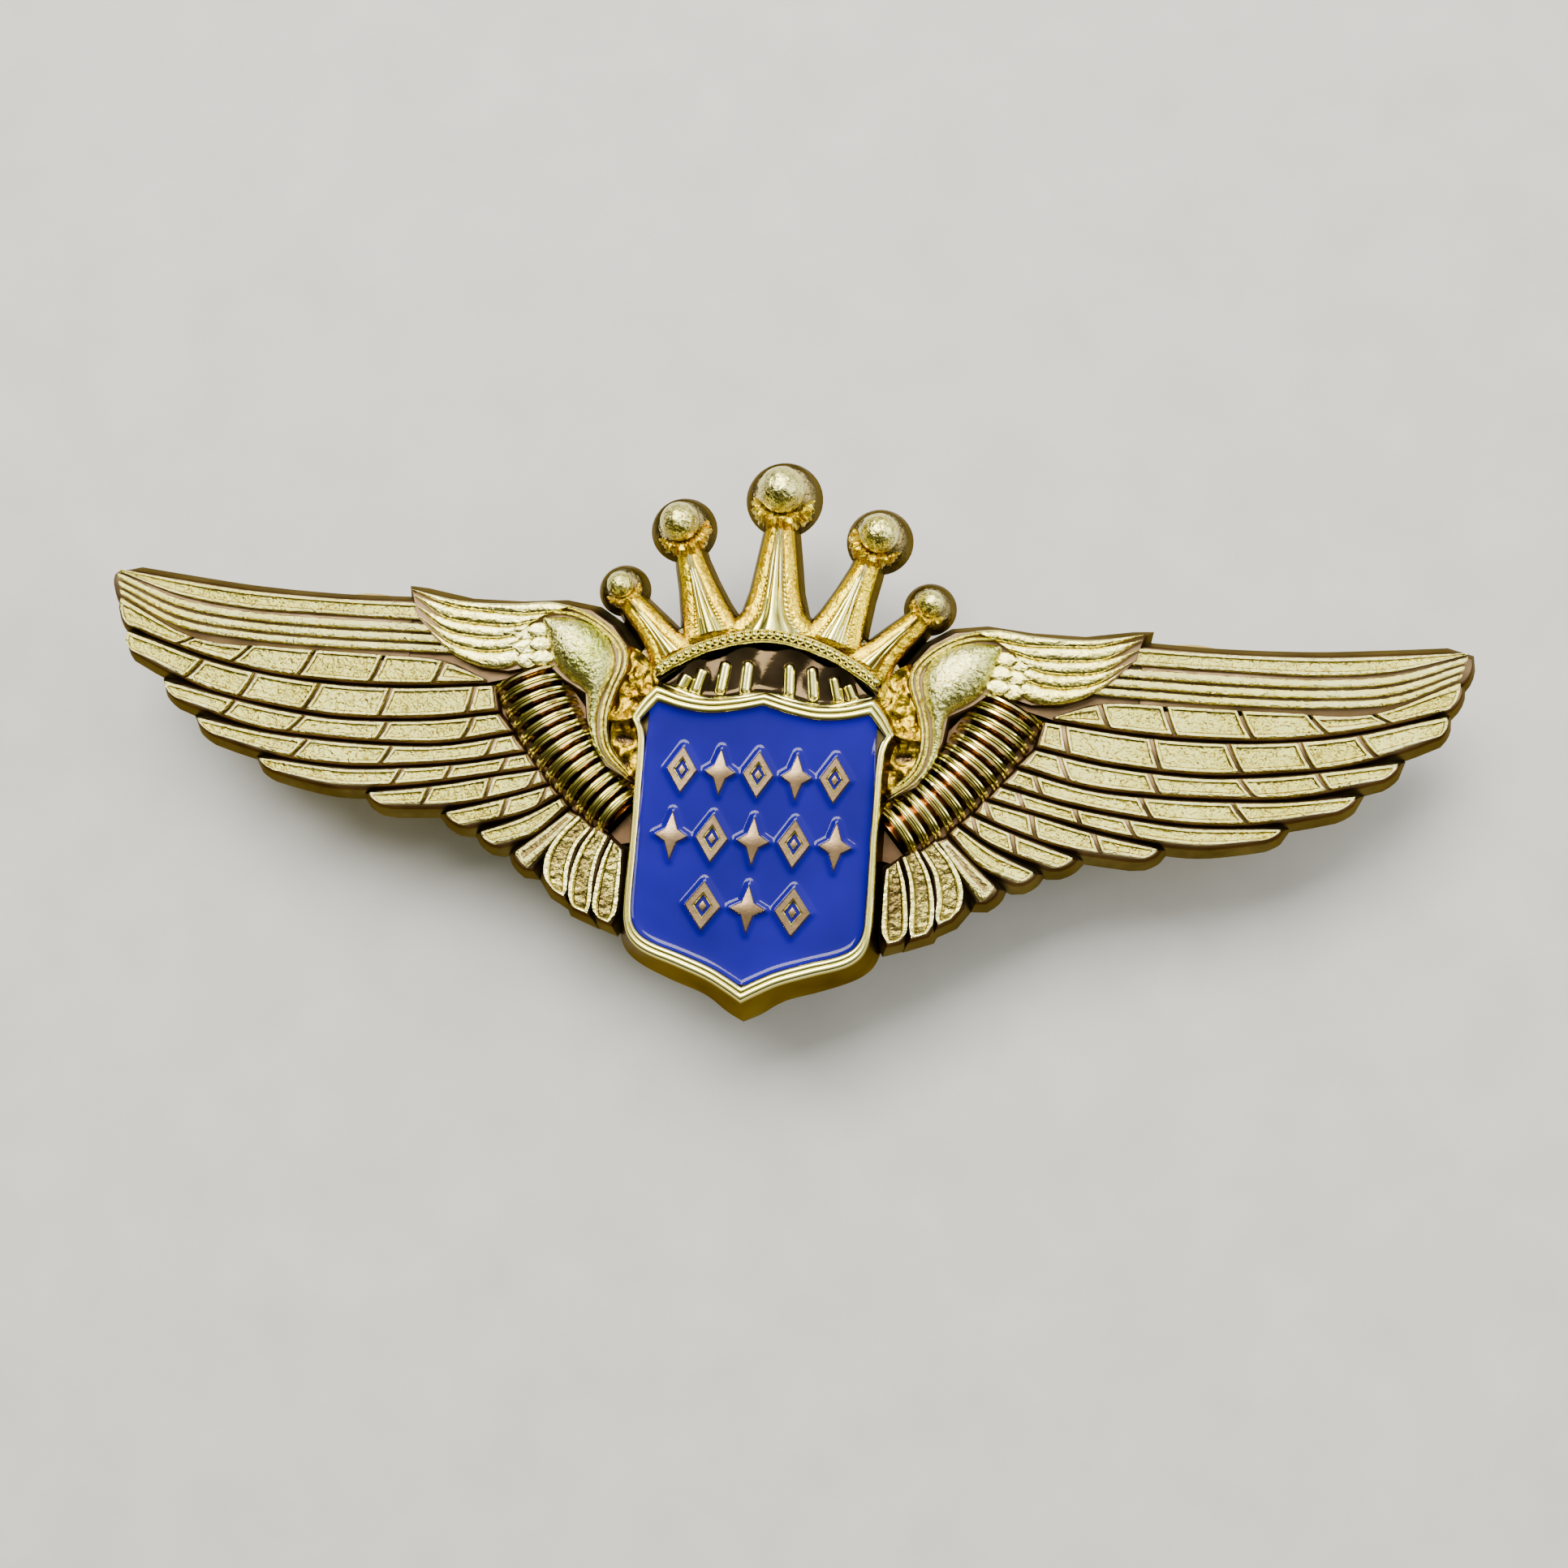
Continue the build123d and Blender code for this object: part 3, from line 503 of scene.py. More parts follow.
def make_leading_ribs():
    """The pebbled band along the leading edge, and the three polished ribs under it."""
    lengthways, crossways = stops(LEAD_BAND_LENGTH, 0.15), stops(LEAD_BAND_WIDTH, 0.13)

    def place(i, j):
        x, y = across(*LEAD_BAND, lengthways[i] / lengthways[-1], crossways[j] / crossways[-1])
        edge = inset(lengthways, crossways, i, j)
        grain = PEBBLE_RISE * wear(x, y, 0.0, PEBBLE_COARSE) if edge > RIM_STOPS[-1] else 0.0
        return x, y, WING_H + rim_height(edge) + grain
    band = moulded("band", len(lengthways) - 1, len(crossways) - 1, place)

    def across_strip(share):
        return [between(a, b, share) for a, b in zip(*RIB_STRIP)]

    def rib_height(u, v):
        return WING_H - 0.15 + 0.22 * dome(v) ** 0.6
    ribs = [blade("rib", across_strip(first), across_strip(last), 90, 14, rib_height)
            for first, last in RIB_SHARES]
    return closed(joined("leading_ribs_right", [band] + ribs), 50)


# ---- wing plate ----
# the foot's wall: offset outwards and height, top first
SKIRT = [(-0.02, GROOVE_H), (0.03, GROOVE_H - 0.03), (0.16, 1.2), (0.4, 0.6), (0.58, 0.12), (0.62, 0.0)]


def row_outline(upper, lower):
    """The closed outline of a row of feathers, with its rounded tip."""
    samples = 24
    xs = [mix(upper[0][0], upper[-1][0], k / samples) for k in range(samples + 1)]
    xl = [mix(lower[-1][0], lower[0][0], k / samples) for k in range(samples + 1)]
    (xa, ya), (xb, yb) = upper[-1], lower[-1]
    width = math.dist((xa, ya), (xb, yb))
    tip = [(mix(xa, xb, k / 6) + tip_reach(k / 6, width) - TIP_SET_BACK * width, mix(ya, yb, k / 6))
           for k in range(1, 6)]
    return [(x, edge_y(upper, x)) for x in xs[:-1]] + tip + [(x, edge_y(lower, x)) for x in xl[1:]]


def make_wing_plate():
    """The drafted body under the feathers, one tongue for each row, so the foot is scalloped."""
    bodies = [drafted("tongue", row_outline(*row), SKIRT) for row in ROWS]
    bodies.append(drafted("tongue", row_outline(*WING_LEAD), SKIRT))
    bodies += [drafted("tongue", upper + lower[::-1], SKIRT) for upper, lower in TAIL_FEATHERS]
    bodies.append(drafted("bed", SWAN_BODY, [(-0.02, SWAN_H - 0.15), (0.0, SWAN_H - 0.2)] + SKIRT[1:]))
    bodies.append(drafted("bed", SWAN_WING_BED, [(0.0, GROOVE_H - 0.12), (0.0, 0.0)]))
    bodies.append(drafted("bed", HORN_BED, [(0.0, 1.1), (0.0, 0.0)]))
    return closed(joined("wing_plate_right", bodies), 40)


# ---- swan ----
def breast_height(u, v):
    """Low along the neck, swelling to the breast, and finely crackled there."""
    rise = 0.42 + 0.85 * ease(0.25, 0.7, u) - 0.5 * ease(0.8, 1.0, u)
    crackle = 0.035 * noise.noise(Vector((u * 34, v * 16, 0))) * ease(0.35, 0.65, u)
    return SWAN_H - 0.3 + rise * dome(v) ** 0.9 + crackle


def scallop(x, y):
    """A small overlapping feather, 1 mm long, lying towards the wing tip."""
    upper = [(x - 0.55, y + 0.2), (x - 0.1, y + 0.46), (x + 0.4, y + 0.36), (x + 0.75, y - 0.05)]
    lower = [(x - 0.55, y - 0.15), (x - 0.1, y - 0.46), (x + 0.4, y - 0.44), (x + 0.75, y - 0.1)]

    def height(u, v):
        return SWAN_H + (0.05 + 0.28 * u) * dome(v) ** 0.5
    return blade("scallop", upper, lower, 14, 12, height)


def plume(k):
    """The long feather between two of the plume lines, each a little lower than the one before."""
    upper, lower = PLUME_LINES[k], PLUME_LINES[k + 1][:-1] + [PLUME_LINES[k][-1]]
    low = SWAN_H + 0.1 - 0.06 * k

    def height(u, v):
        crackle = 0.05 * noise.noise(Vector((u * 30, v * 5, k))) * dome(v)
        return low + (0.32 * dome(v) ** 0.55 + crackle) * (1 - 0.5 * ease(0.6, 1.0, u))
    return blade("plume", upper, lower, 36, 14, height)


def make_breast():
    return closed(blade("swan_breast_right", SWAN_OUTER, SWAN_INNER, 90, 34, breast_height), 50)


def make_plumes():
    """The rims along the neck, the small overlapping feathers and the plumes."""
    parts = [ridge("rim", line, 0.24, 0.28, SWAN_H - 0.1, 60) for line in SWAN_RIMS]
    parts.append(ridge("rim", SHOULDER_RIM, 0.3, 0.9, 1.2, 24))
    parts += [scallop(x, y) for x, y in SCALLOPS]
    parts += [plume(k) for k in range(len(PLUME_LINES) - 1)]
    return closed(joined("swan_plumes_right", parts), 50)


def make_pockets():
    """The crumpled hollows between the swan's neck and the shield, above and below the shoulder."""
    columns, rows = 30, 24

    def crumpled(x, y, low, tall):
        return low + tall * wear(x, y, 0.0, 0.7) + 0.5 * tall * wear(x, y, 3.0, 0.3)

    def hollow(name, upper, lower, low, tall):
        def place(i, j):
            x, y = across(upper, lower, i / columns, j / rows)
            return x, y, 0.0 if i in (0, columns) or j in (0, rows) else crumpled(x, y, low, tall)
        return moulded(name, columns, rows, place)
    parts = [hollow("pocket", *POCKET, 1.1, 0.2), hollow("shoulder", *SHOULDER, 1.4, 0.26)]
    return closed(joined("neck_pocket_right", parts), 40)


# ---- ringed horn and tail ----
def horn_arc(u, reach, angle):
    """A point on the horn, u along it, reach times its radius out, bowed towards its upper end."""
    s = min(max(u - 0.03 * math.sin(angle) + 0.01, 0.0), 1.0)
    x, y = smooth_point(HORN_LINE, s)
    x2, y2 = smooth_point(HORN_LINE, min(s + 0.02, 1.0))
    x1, y1 = smooth_point(HORN_LINE, max(s - 0.02, 0.0))
    run = math.dist((x1, y1), (x2, y2))
    side = mix(*HORN_R, u) * reach * math.cos(angle)
    return (x - (y2 - y1) / run * side, y + (x2 - x1) / run * side,
            HORN_AXIS_H + HORN_RISE * mix(*HORN_R, u) * reach * math.sin(angle))


def make_horn_core():
    """The horn under its rings: a hollowed dip between every two rings."""
    steps, around = 8, 18

    def place(i, j):
        reach = 0.9 - 0.16 * math.sin(math.pi * (i / steps % 1.0))
        return horn_arc(i / (HORN_RINGS * steps), reach, math.pi * j / around)
    return closed(moulded("horn_core_right", HORN_RINGS * steps, around, place), 60)


def make_horn():
    """Two half-round beads across the horn for every ring."""
    around, sides = 22, 6

    def bead(u, width):
        def place(i, j):
            turn = 2 * math.pi * j / sides
            return horn_arc(u + width * math.cos(turn), 0.93 + 0.08 * math.sin(turn), math.pi * i / around)
        return moulded("bead", around, sides, place)
    pitch = 1 / HORN_RINGS
    beads = []
    for ring in range(HORN_RINGS):
        beads += [bead(pitch * (ring + 0.1), 0.17 * pitch), bead(pitch * (ring + 0.46), 0.13 * pitch)]
    return closed(joined("ringed_horn_right", beads), 60)


def make_tail():
    """Three feathers, each a pebbled tray with a smooth rim."""
    def height(u, v):
        rim = max(ease(0.74, 0.84, v), 1 - ease(0.16, 0.26, v), ease(0.93, 0.99, u))
        pebbled = WING_H - 0.2 + 0.05 * noise.noise(Vector((u * 14, v * 4, 0)))
        return mix(pebbled, WING_H + 0.05, rim)
    feathers = [blade("tail", upper, lower, 50, 26, height) for upper, lower in TAIL_FEATHERS]
    return closed(joined("tail_feathers_right", feathers), 45)


# ---- crown ----
def mirrored_points(points):
    return [(-x, y) for x, y in points]


def circle(x, y, r):
    turns = [2 * math.pi * k / 40 for k in range(40)]
    return [(x + r * math.cos(turn), y + r * math.sin(turn)) for turn in turns]


def make_halo():
    """The crown's backing: a drafted web round every spike and a disc behind every ball."""
    bodies = []
    for left, right in SPIKES:
        outline = left + right[::-1]
        bodies.append(drafted("web", outline, WEB_WALL))
        if left[0][0] > 0:
            bodies.append(drafted("web", mirrored_points(outline), WEB_WALL))
    for x, y, ball_r, disc_r in BALLS:
        for side in {x, -x}:
            bodies.append(drafted("disc", circle(side, y, disc_r), DISC_WALL))
    bodies.append(drafted("ground", both_halves(CROWN_GROUND), [(0.0, CROWN_GROUND_H), (0.0, 0.0)]))
    return closed(joined("crown_halo", bodies), 40)


def slimmer(left, right, share):
    """Two edges drawn in towards the line halfway between them."""
    middle = [between(a, b, 0.5) for a, b in zip(left, right)]
    return [[between(p, m, share) for p, m in zip(edge, middle)] for edge in (left, right)]


def spike(left, right):
    """A tapering blade with a sharp ridge, fine flutes beside it and a milled edge."""
    left, right = slimmer(left, right, SPIKE_SLIMMING)

    def height(u, v):
        slope = 1 - abs(2 * v - 1)
        fading = 1 - ease(0.55, 1.0, u)
        flutes = 0.05 * math.cos(2 * math.pi * SPIKE_FLUTES * v) * fading * ease(0.1, 0.3, slope)
        milling = 0.035 * math.cos(math.pi * SPIKE_MILLING * u) * (1 - ease(0.12, 0.3, slope))
        return 1.6 + (0.75 - 0.1 * u) * slope ** 0.8 + flutes + milling
    return blade("spike", left, right, 2 * SPIKE_MILLING, 30, height, base=1.2)


def make_spikes():
    spikes = []
    for left, right in SPIKES:
        spikes.append(spike(left, right))
        if left[0][0] > 0:
            spikes.append(spike(mirrored_points(left), mirrored_points(right)))
    return closed(joined("crown_spikes", spikes), 50)


def crown_ball(x, y, r):
    """A ball with slight dents, which leave the height of its underside as it is."""
    bpy.ops.object.select_all(action="DESELECT")
    middle = at(x, y, BALL_FOOT_H + r)
    bpy.ops.mesh.primitive_uv_sphere_add(segments=48, ring_count=32, radius=r * MM, location=middle)
    ball = bpy.context.object
    bpy.ops.object.transform_apply(location=True, rotation=True, scale=True)
    for vertex in ball.data.vertices:
        away = vertex.co - middle
        dent = away.normalized() * (0.012 * r * MM * noise.noise(away / (0.5 * r * MM)))
        if away.z < -0.6 * r * MM:
            dent.z = 0.0
        vertex.co += dent
    return ball


def make_balls():
    balls = [crown_ball(side, y, r) for x, y, r, disc_r in BALLS for side in sorted({x, -x})]
    return closed(joined("crown_balls", balls), 60)


def collar(x, y, r, first, last, side):
    """A crumpled half ring of casting under a ball."""
    columns, rows = 48, 8

    def place(i, j):
        angle = math.radians(mix(first, last, i / columns))
        around = math.pi * j / rows
        taper = math.sqrt(max(math.sin(math.pi * i / columns), 0.02))
        out = r * (1.25 + 0.42 * taper * math.cos(around))
        up = 1.15 + 0.85 * r * taper * math.sin(around)
        cos, sin = math.cos(angle), math.sin(angle)
        crumple = 0.24 * r * noise.noise(Vector((11 * cos, 11 * sin, 3 * j / rows + x)))
        return side * (x + (out + crumple) * cos), y + (out + crumple) * sin, up + crumple
    return moulded("collar", columns, rows, place)


def make_collars():
    collars = [collar(*values, side) for values in COLLARS for side in ((1, -1) if values[0] else (1,))]
    return closed(joined("crown_collars", collars), 25)


def make_band():
    """The beaded arch: a string of beads between two rails."""
    length = sum(math.dist(a, b) for a, b in zip(BAND, BAND[1:]))
    count = round(length / BEAD_PITCH)
    rail_up = [(x, y + RAIL_OFFSET) for x, y in BAND]
    rail_down = [(x, y - RAIL_OFFSET) for x, y in BAND]
    bead_line = [(x, y + 0.05) for x, y in BAND]
    parts = [blade("bed", rail_up, rail_down, 60, 6, lambda u, v: BAND_H, base=1.1),
             ridge("rail", rail_up, 0.14, 0.2, BAND_H, 70), ridge("rail", rail_down, 0.26, 0.3, BAND_H, 70)]
    for k in range(count):
        middle = at(*smooth_point(bead_line, (k + 0.5) / count), BEAD_H)
        bpy.ops.object.select_all(action="DESELECT")
        bpy.ops.mesh.primitive_uv_sphere_add(segments=12, ring_count=8, radius=BEAD_R * MM, location=middle)
        bpy.ops.transform.resize(value=(1, 1, 1.25), center_override=middle)
        bpy.ops.object.transform_apply(location=True, rotation=True, scale=True)
        parts.append(bpy.context.object)
    return closed(joined("crown_band", parts), 50)


def make_cap():
    """The folded lining between the arch and the shield."""
    upper = [(x * 0.97, y - 0.35) for x, y in BAND]

    def height(u, v):
        folds = 0.1 * math.sin(9 * math.pi * u) * math.sin(math.pi * v)
        return CAP_H + 0.35 * ease(0.22, 0.05, v) + folds
    return closed(blade("crown_cap", upper, CAP_LOWER, 90, 24, height, base=1.1), 50)


def make_flutes():
    """The cap's raised flutes, and the ledge they run down to, above the shield."""
    flutes = []
    for x1, y1, x2, y2 in FLUTES:
        for side in (1, -1):
            line = [(side * mix(x1, x2, k / 3), mix(y1, y2, k / 3)) for k in range(4)]
            flutes.append(ridge("flute", line, 0.72, 0.5, CAP_H, 16))
    ledge = [(0.97 * x, y + 0.25) for x, y in CAP_LOWER]
    flutes.append(ridge("ledge", ledge, 0.6, 0.45, CAP_H, 70))
    return closed(joined("cap_flutes", flutes), 50)


# ---- shield ----
def shield_loop(half):
    """A whole closed outline from a right-hand half, rounded between its corners."""
    right = []
    for first, last, steps in SHIELD_RUNS:
        run = half[first:last + 1]
        right += [smooth_point(run, k / steps) for k in range(steps)]
    right.append(half[-1])
    return both_halves(right)


def make_shield():
    """A rim with a fine line along it, and a drafted wall swelling to a rounded foot. rim and wall give
    the share of the way from one outline to the next, and the height there."""
    inner, outer, foot = shield_loop(ENAMEL_EDGE), shield_loop(RIM_EDGE), shield_loop(SHIELD_FOOT)
    rim = [(0.0, 2.2), (0.0, 2.88), (0.1, 2.98), (0.25, 3.03), (0.42, 3.02), (0.5, 2.96), (0.58, 3.02),
           (0.8, 3.03), (0.93, 2.98), (1.0, 2.88)]
    wall = [(0.12, 2.5), (0.36, 1.7), (0.62, 0.95), (0.85, 0.35), (0.97, 0.06), (1.0, 0.0)]
    loops = [[(*between(a, b, t), h) for a, b in zip(inner, outer)] for t, h in rim]
    loops += [[(*between(a, b, t), h) for a, b in zip(outer, foot)] for t, h in wall]
    count = len(inner)
    return closed(moulded("shield_rim", count, len(loops) - 1, lambda i, j: loops[j][i % count]), 50)


def ornament_places():
    """Each ornament's x, y, half width, half height, and whether it is a star."""
    for row, (y, count, pitch, w, h) in enumerate(ORNAMENT_ROWS):
        for i in range(count):
            yield (i - (count - 1) / 2) * pitch, y, w, h, (row + i) % 2 == 1


def line_reach(x, y, points):
    """The distance from a point to the nearest of a run of straight lines."""
    near = math.inf
    for (ax, ay), (bx, by) in zip(points, points[1:]):
        dx, dy = bx - ax, by - ay
        t = min(max(((x - ax) * dx + (y - ay) * dy) / (dx * dx + dy * dy), 0.0), 1.0)
        near = min(near, math.hypot(x - ax - t * dx, y - ay - t * dy))
    return near


def ornament_reach(x, y):
    """The distance to the nearest edge of an ornament close by."""
    near = math.inf
    for cx, cy, w, h, star in ornament_places():
        px, py = abs(x - cx), abs(y - cy)
        if px > w + 1 or py > h + 1:
            continue
        if star:
            near = min(near, line_reach(px, py, [(0, h), (STAR_WAIST, STAR_WAIST), (w, 0)]))
        else:
            for scale in (1.0, HOLE_SCALE, PIP_SCALE):
                near = min(near, line_reach(px, py, [(0, h * scale), (w * scale, 0)]))
    return near


def raised_shape(points, bevel):
    """A polygon raised through the enamel, its edges rounded."""
    bpy.ops.object.select_all(action="DESELECT")
    bpy.ops.mesh.primitive_circle_add(vertices=len(points), radius=1, fill_type="NGON")
    shape = bpy.context.object
    for vertex, (x, y) in zip(shape.data.vertices, points):
        vertex.co = at(x, y, ORNAMENT_FOOT_H)
    bpy.ops.object.mode_set(mode="EDIT")
    bpy.ops.mesh.select_all(action="SELECT")
    height = (ORNAMENT_TOP_H - ORNAMENT_FOOT_H) * MM
    bpy.ops.mesh.extrude_region_move(TRANSFORM_OT_translate={"value": (0, 0, height)})
    bpy.ops.mesh.bevel(offset=bevel * MM, segments=3, affect="EDGES")
    bpy.ops.object.mode_set(mode="OBJECT")
    return shape


def lozenge_points(x, y, w, h):
    return [(x, y + h), (x + w, y), (x, y - h), (x - w, y)]


def lozenge_frame(x, y, w, h):
    """An open lozenge: a rounded bar round a hole."""
    profile = [(1.0, ORNAMENT_FOOT_H), (1.0, SHIELD_H), (0.97, SHIELD_H + 0.06), (0.92, ORNAMENT_TOP_H),
               (0.58, ORNAMENT_TOP_H), (0.53, SHIELD_H + 0.06), (HOLE_SCALE, SHIELD_H),
               (HOLE_SCALE, ORNAMENT_FOOT_H), (1.0, ORNAMENT_FOOT_H)]
    corner = evenly(lozenge_points(0, 0, w, h), 0.12)

    def place(i, j):
        cx, cy = corner[i % len(corner)]
        scale, height = profile[j]
        return x + cx * scale, y + cy * scale, height
    return moulded("frame", len(corner), len(profile) - 1, place)


def star_points(x, y, w, h):
    tips = [(0, h), (w, 0), (0, -h), (-w, 0)]
    inner = [(STAR_WAIST, STAR_WAIST), (STAR_WAIST, -STAR_WAIST),
             (-STAR_WAIST, -STAR_WAIST), (-STAR_WAIST, STAR_WAIST)]
    return [(x + p[0], y + p[1]) for pair in zip(tips, inner) for p in pair]


def make_ornaments():
    parts = []
    for x, y, w, h, star in ornament_places():
        if star:
            parts.append(raised_shape(star_points(x, y, w, h), 0.05))
        else:
            parts.append(lozenge_frame(x, y, w, h))
            parts.append(raised_shape(lozenge_points(x, y, w * PIP_SCALE, h * PIP_SCALE), 0.04))
    return closed(joined("shield_ornaments", parts), 30)


def make_enamel():
    """The enamel, drawn up at the rim and round every ornament, with slight waves."""
    rim = shield_loop(ENAMEL_EDGE)
    rim.append(rim[0])
    half = len(rim) // 2
    bounds = sorted((abs(x), y) for x, y in rim[:half] if abs(x) < ENAMEL_REACH)
    top = [p for p in bounds if p[1] > 0]
    low = [p for p in bounds if p[1] < -8]
    columns, rows = 150, 170

    def edge(points, x):
        for (x1, y1), (x2, y2) in zip(points, points[1:]):
            if x1 <= x <= x2:
                return mix(y1, y2, (x - x1) / max(x2 - x1, 1e-6))
        return points[-1][1] if x > points[-1][0] else points[0][1]

    def place(i, j):
        x = mix(-ENAMEL_REACH, ENAMEL_REACH, min(max((i - 1) / (columns - 2), 0), 1))
        v = min(max((j - 1) / (rows - 2), 0), 1)
        y = mix(edge(low, abs(x)), edge(top, abs(x)), v)
        if i in (0, columns) or j in (0, rows):
            return x, y, ENAMEL_FOOT_H
        at_rim = 0.16 * math.exp(-line_reach(x, y, rim) / 0.16)
        at_ornament = 0.12 * math.exp(-((ornament_reach(x, y) / 0.2) ** 2))
        return x, y, ENAMEL_H + (at_rim + at_ornament) + 0.01 * wear(x, y, 2.0, 1.6)
    return closed(moulded("enamel_fill", columns, rows, place), 60)


# ---- materials ----
COLOUR_A, COLOUR_B, MIXED = 6, 7, 2      # a mix node's sockets for colours


def material(name, metallic, roughness, coat=0.0):
    m = bpy.data.materials.new(name)
    m.use_nodes = True
    shader = m.node_tree.nodes["Principled BSDF"]
    shader.inputs["Metallic"].default_value = metallic
    shader.inputs["Roughness"].default_value = roughness
    shader.inputs["Coat Weight"].default_value = coat
    shader.inputs["Coat Roughness"].default_value = 0.03
    return m, m.node_tree, shader


def noise_at(tree, per_mm, detail=3.0, rough=0.5):
    """Noise on object coordinates with about per_mm features to the millimetre."""
    where = tree.nodes.new("ShaderNodeTexCoord")
    pattern = tree.nodes.new("ShaderNodeTexNoise")
    pattern.inputs["Scale"].default_value = per_mm / MM
    pattern.inputs["Detail"].default_value = detail
    pattern.inputs["Roughness"].default_value = rough
    tree.links.new(where.outputs["Object"], pattern.inputs["Vector"])
    return pattern


def ramp(tree, source, tones):
    """The source turned into colours, each tone a place from 0 to 1 and a colour."""
    node = tree.nodes.new("ShaderNodeValToRGB")
    while len(node.color_ramp.elements) < len(tones):
        node.color_ramp.elements.new(0.5)
    for element, (place, colour) in zip(node.color_ramp.elements, tones):
        element.position = place
        element.color = (*colour, 1)
    tree.links.new(source, node.inputs["Fac"])
    return node.outputs["Color"]


def bump(tree, shader, source, strength, depth_mm):
    node = tree.nodes.new("ShaderNodeBump")
    node.inputs["Strength"].default_value = strength
    node.inputs["Distance"].default_value = depth_mm * MM
    tree.links.new(source, node.inputs["Height"])
    tree.links.new(node.outputs["Normal"], shader.inputs["Normal"])


def spread(tree, source, low, high, socket):
    """The source's 0 to 1 spread from low to high and fed to the socket."""
    node = tree.nodes.new("ShaderNodeMapRange")
    node.inputs["To Min"].default_value = low
    node.inputs["To Max"].default_value = high
    tree.links.new(source, node.inputs["Value"])
    tree.links.new(node.outputs["Result"], socket)


def by_height(tree, low, high, below, above):
    """One colour below a height above the plate's back, and another above it."""
    where = tree.nodes.new("ShaderNodeTexCoord")
    parts = tree.nodes.new("ShaderNodeSeparateXYZ")
    share = tree.nodes.new("ShaderNodeMapRange")
    share.inputs["From Min"].default_value = BACK_Z + low * MM
    share.inputs["From Max"].default_value = BACK_Z + high * MM
    blend = tree.nodes.new("ShaderNodeMix")
    blend.data_type = "RGBA"
    tree.links.new(where.outputs["Object"], parts.inputs["Vector"])
    tree.links.new(parts.outputs["Z"], share.inputs["Value"])
    tree.links.new(share.outputs["Result"], blend.inputs["Factor"])
    tree.links.new(below, blend.inputs[COLOUR_A])
    tree.links.new(above, blend.inputs[COLOUR_B])
    return blend.outputs[MIXED]


def crackled(tree, colour, line):
    """The colour with fine wandering dark lines in it: painted shade in the creases of a hammered and
    burnished casting.
    """
    wander = noise_at(tree, CRACKLE_PER_MM, 2.0, 0.5)
    plain = (1, 1, 1)
    lines = ramp(tree, wander.outputs["Fac"], [(0.0, plain), (0.46, plain), (0.5, line), (0.54, plain)])
    blend = tree.nodes.new("ShaderNodeMix")
    blend.data_type = "RGBA"
    blend.blend_type = "MULTIPLY"
    blend.inputs["Factor"].default_value = 1.0
    tree.links.new(colour, blend.inputs[COLOUR_A])
    tree.links.new(lines, blend.inputs[COLOUR_B])
    return blend.outputs[MIXED]


def plated(name, pale, deep, rough, grain_per_mm, grain_depth, strength, lower=(), crackle=None, edge=None):
    """Gold plate: its colour drifts between two tones, with fine polishing grain. Each entry of lower gives
    deeper parts other tones, the highest first: two heights between which they change, and a pale and a
    deep tone; in most finishes here these are painted shade. crackle is the tone of fine lines in it,
    painted shade in creases, and edge tints what is seen at a slant, here a painted olive reflection."""
    m, tree, shader = material(name, 1.0, rough)
    if edge:
        shader.inputs["Specular Tint"].default_value = (*edge, 1)
    drift = noise_at(tree, 0.35)
    colour = ramp(tree, drift.outputs["Fac"], [(0.35, deep), (0.65, pale)])
    if crackle and not lower:
        colour = crackled(tree, colour, crackle)
    for start, end, low_pale, low_deep in lower:
        under = ramp(tree, drift.outputs["Fac"], [(0.35, low_deep), (0.65, low_pale)])
        if crackle:
            under = crackled(tree, under, crackle)
        colour = by_height(tree, start, end, under, colour)
    tree.links.new(colour, shader.inputs["Base Color"])
    haze = noise_at(tree, 1.5, 5.0)
    spread(tree, haze.outputs["Fac"], rough * 0.6, rough * 1.5, shader.inputs["Roughness"])
    grain = noise_at(tree, grain_per_mm, 4.0, 0.6)
    bump(tree, shader, grain.outputs["Fac"], strength, grain_depth)
    return m


# plate on the polished tops; then painted shade in a feather's tray, deeper painted shade where its rim drops
# to the tray, in a groove and in a deep hollow, and a painted dark olive reflection on the walls of the foot
PALE_GOLD = (1.0, 0.95, 0.4)
DEEP_GOLD = (0.95, 0.86, 0.24)
TRAY_PAINTED_SHADE_PALE = (0.92, 0.87, 0.27)
TRAY_PAINTED_SHADE_DEEP = (0.7, 0.64, 0.14)
RIM_DROP_PAINTED_SHADE_PALE = (0.42, 0.32, 0.12)
RIM_DROP_PAINTED_SHADE_DEEP = (0.3, 0.21, 0.07)
GROOVE_PAINTED_SHADE_PALE = (0.23, 0.155, 0.085)
GROOVE_PAINTED_SHADE_DEEP = (0.14, 0.09, 0.045)
DEEPEST_PAINTED_SHADE_PALE = (0.1, 0.06, 0.03)
DEEPEST_PAINTED_SHADE_DEEP = (0.05, 0.03, 0.015)
# painted dark olive reflection and shade on drafted walls, as base colour and as a tint seen at a slant
OLIVE_PAINTED_REFLECTION_PALE = (0.16, 0.125, 0.05)
OLIVE_PAINTED_REFLECTION_DEEP = (0.1, 0.078, 0.03)
OLIVE_PAINTED_REFLECTION_TINT = (0.48, 0.4, 0.26)
CREASE_PAINTED_SHADE_TONE = (0.5, 0.42, 0.2)
CRACKLE_PER_MM = 2.4


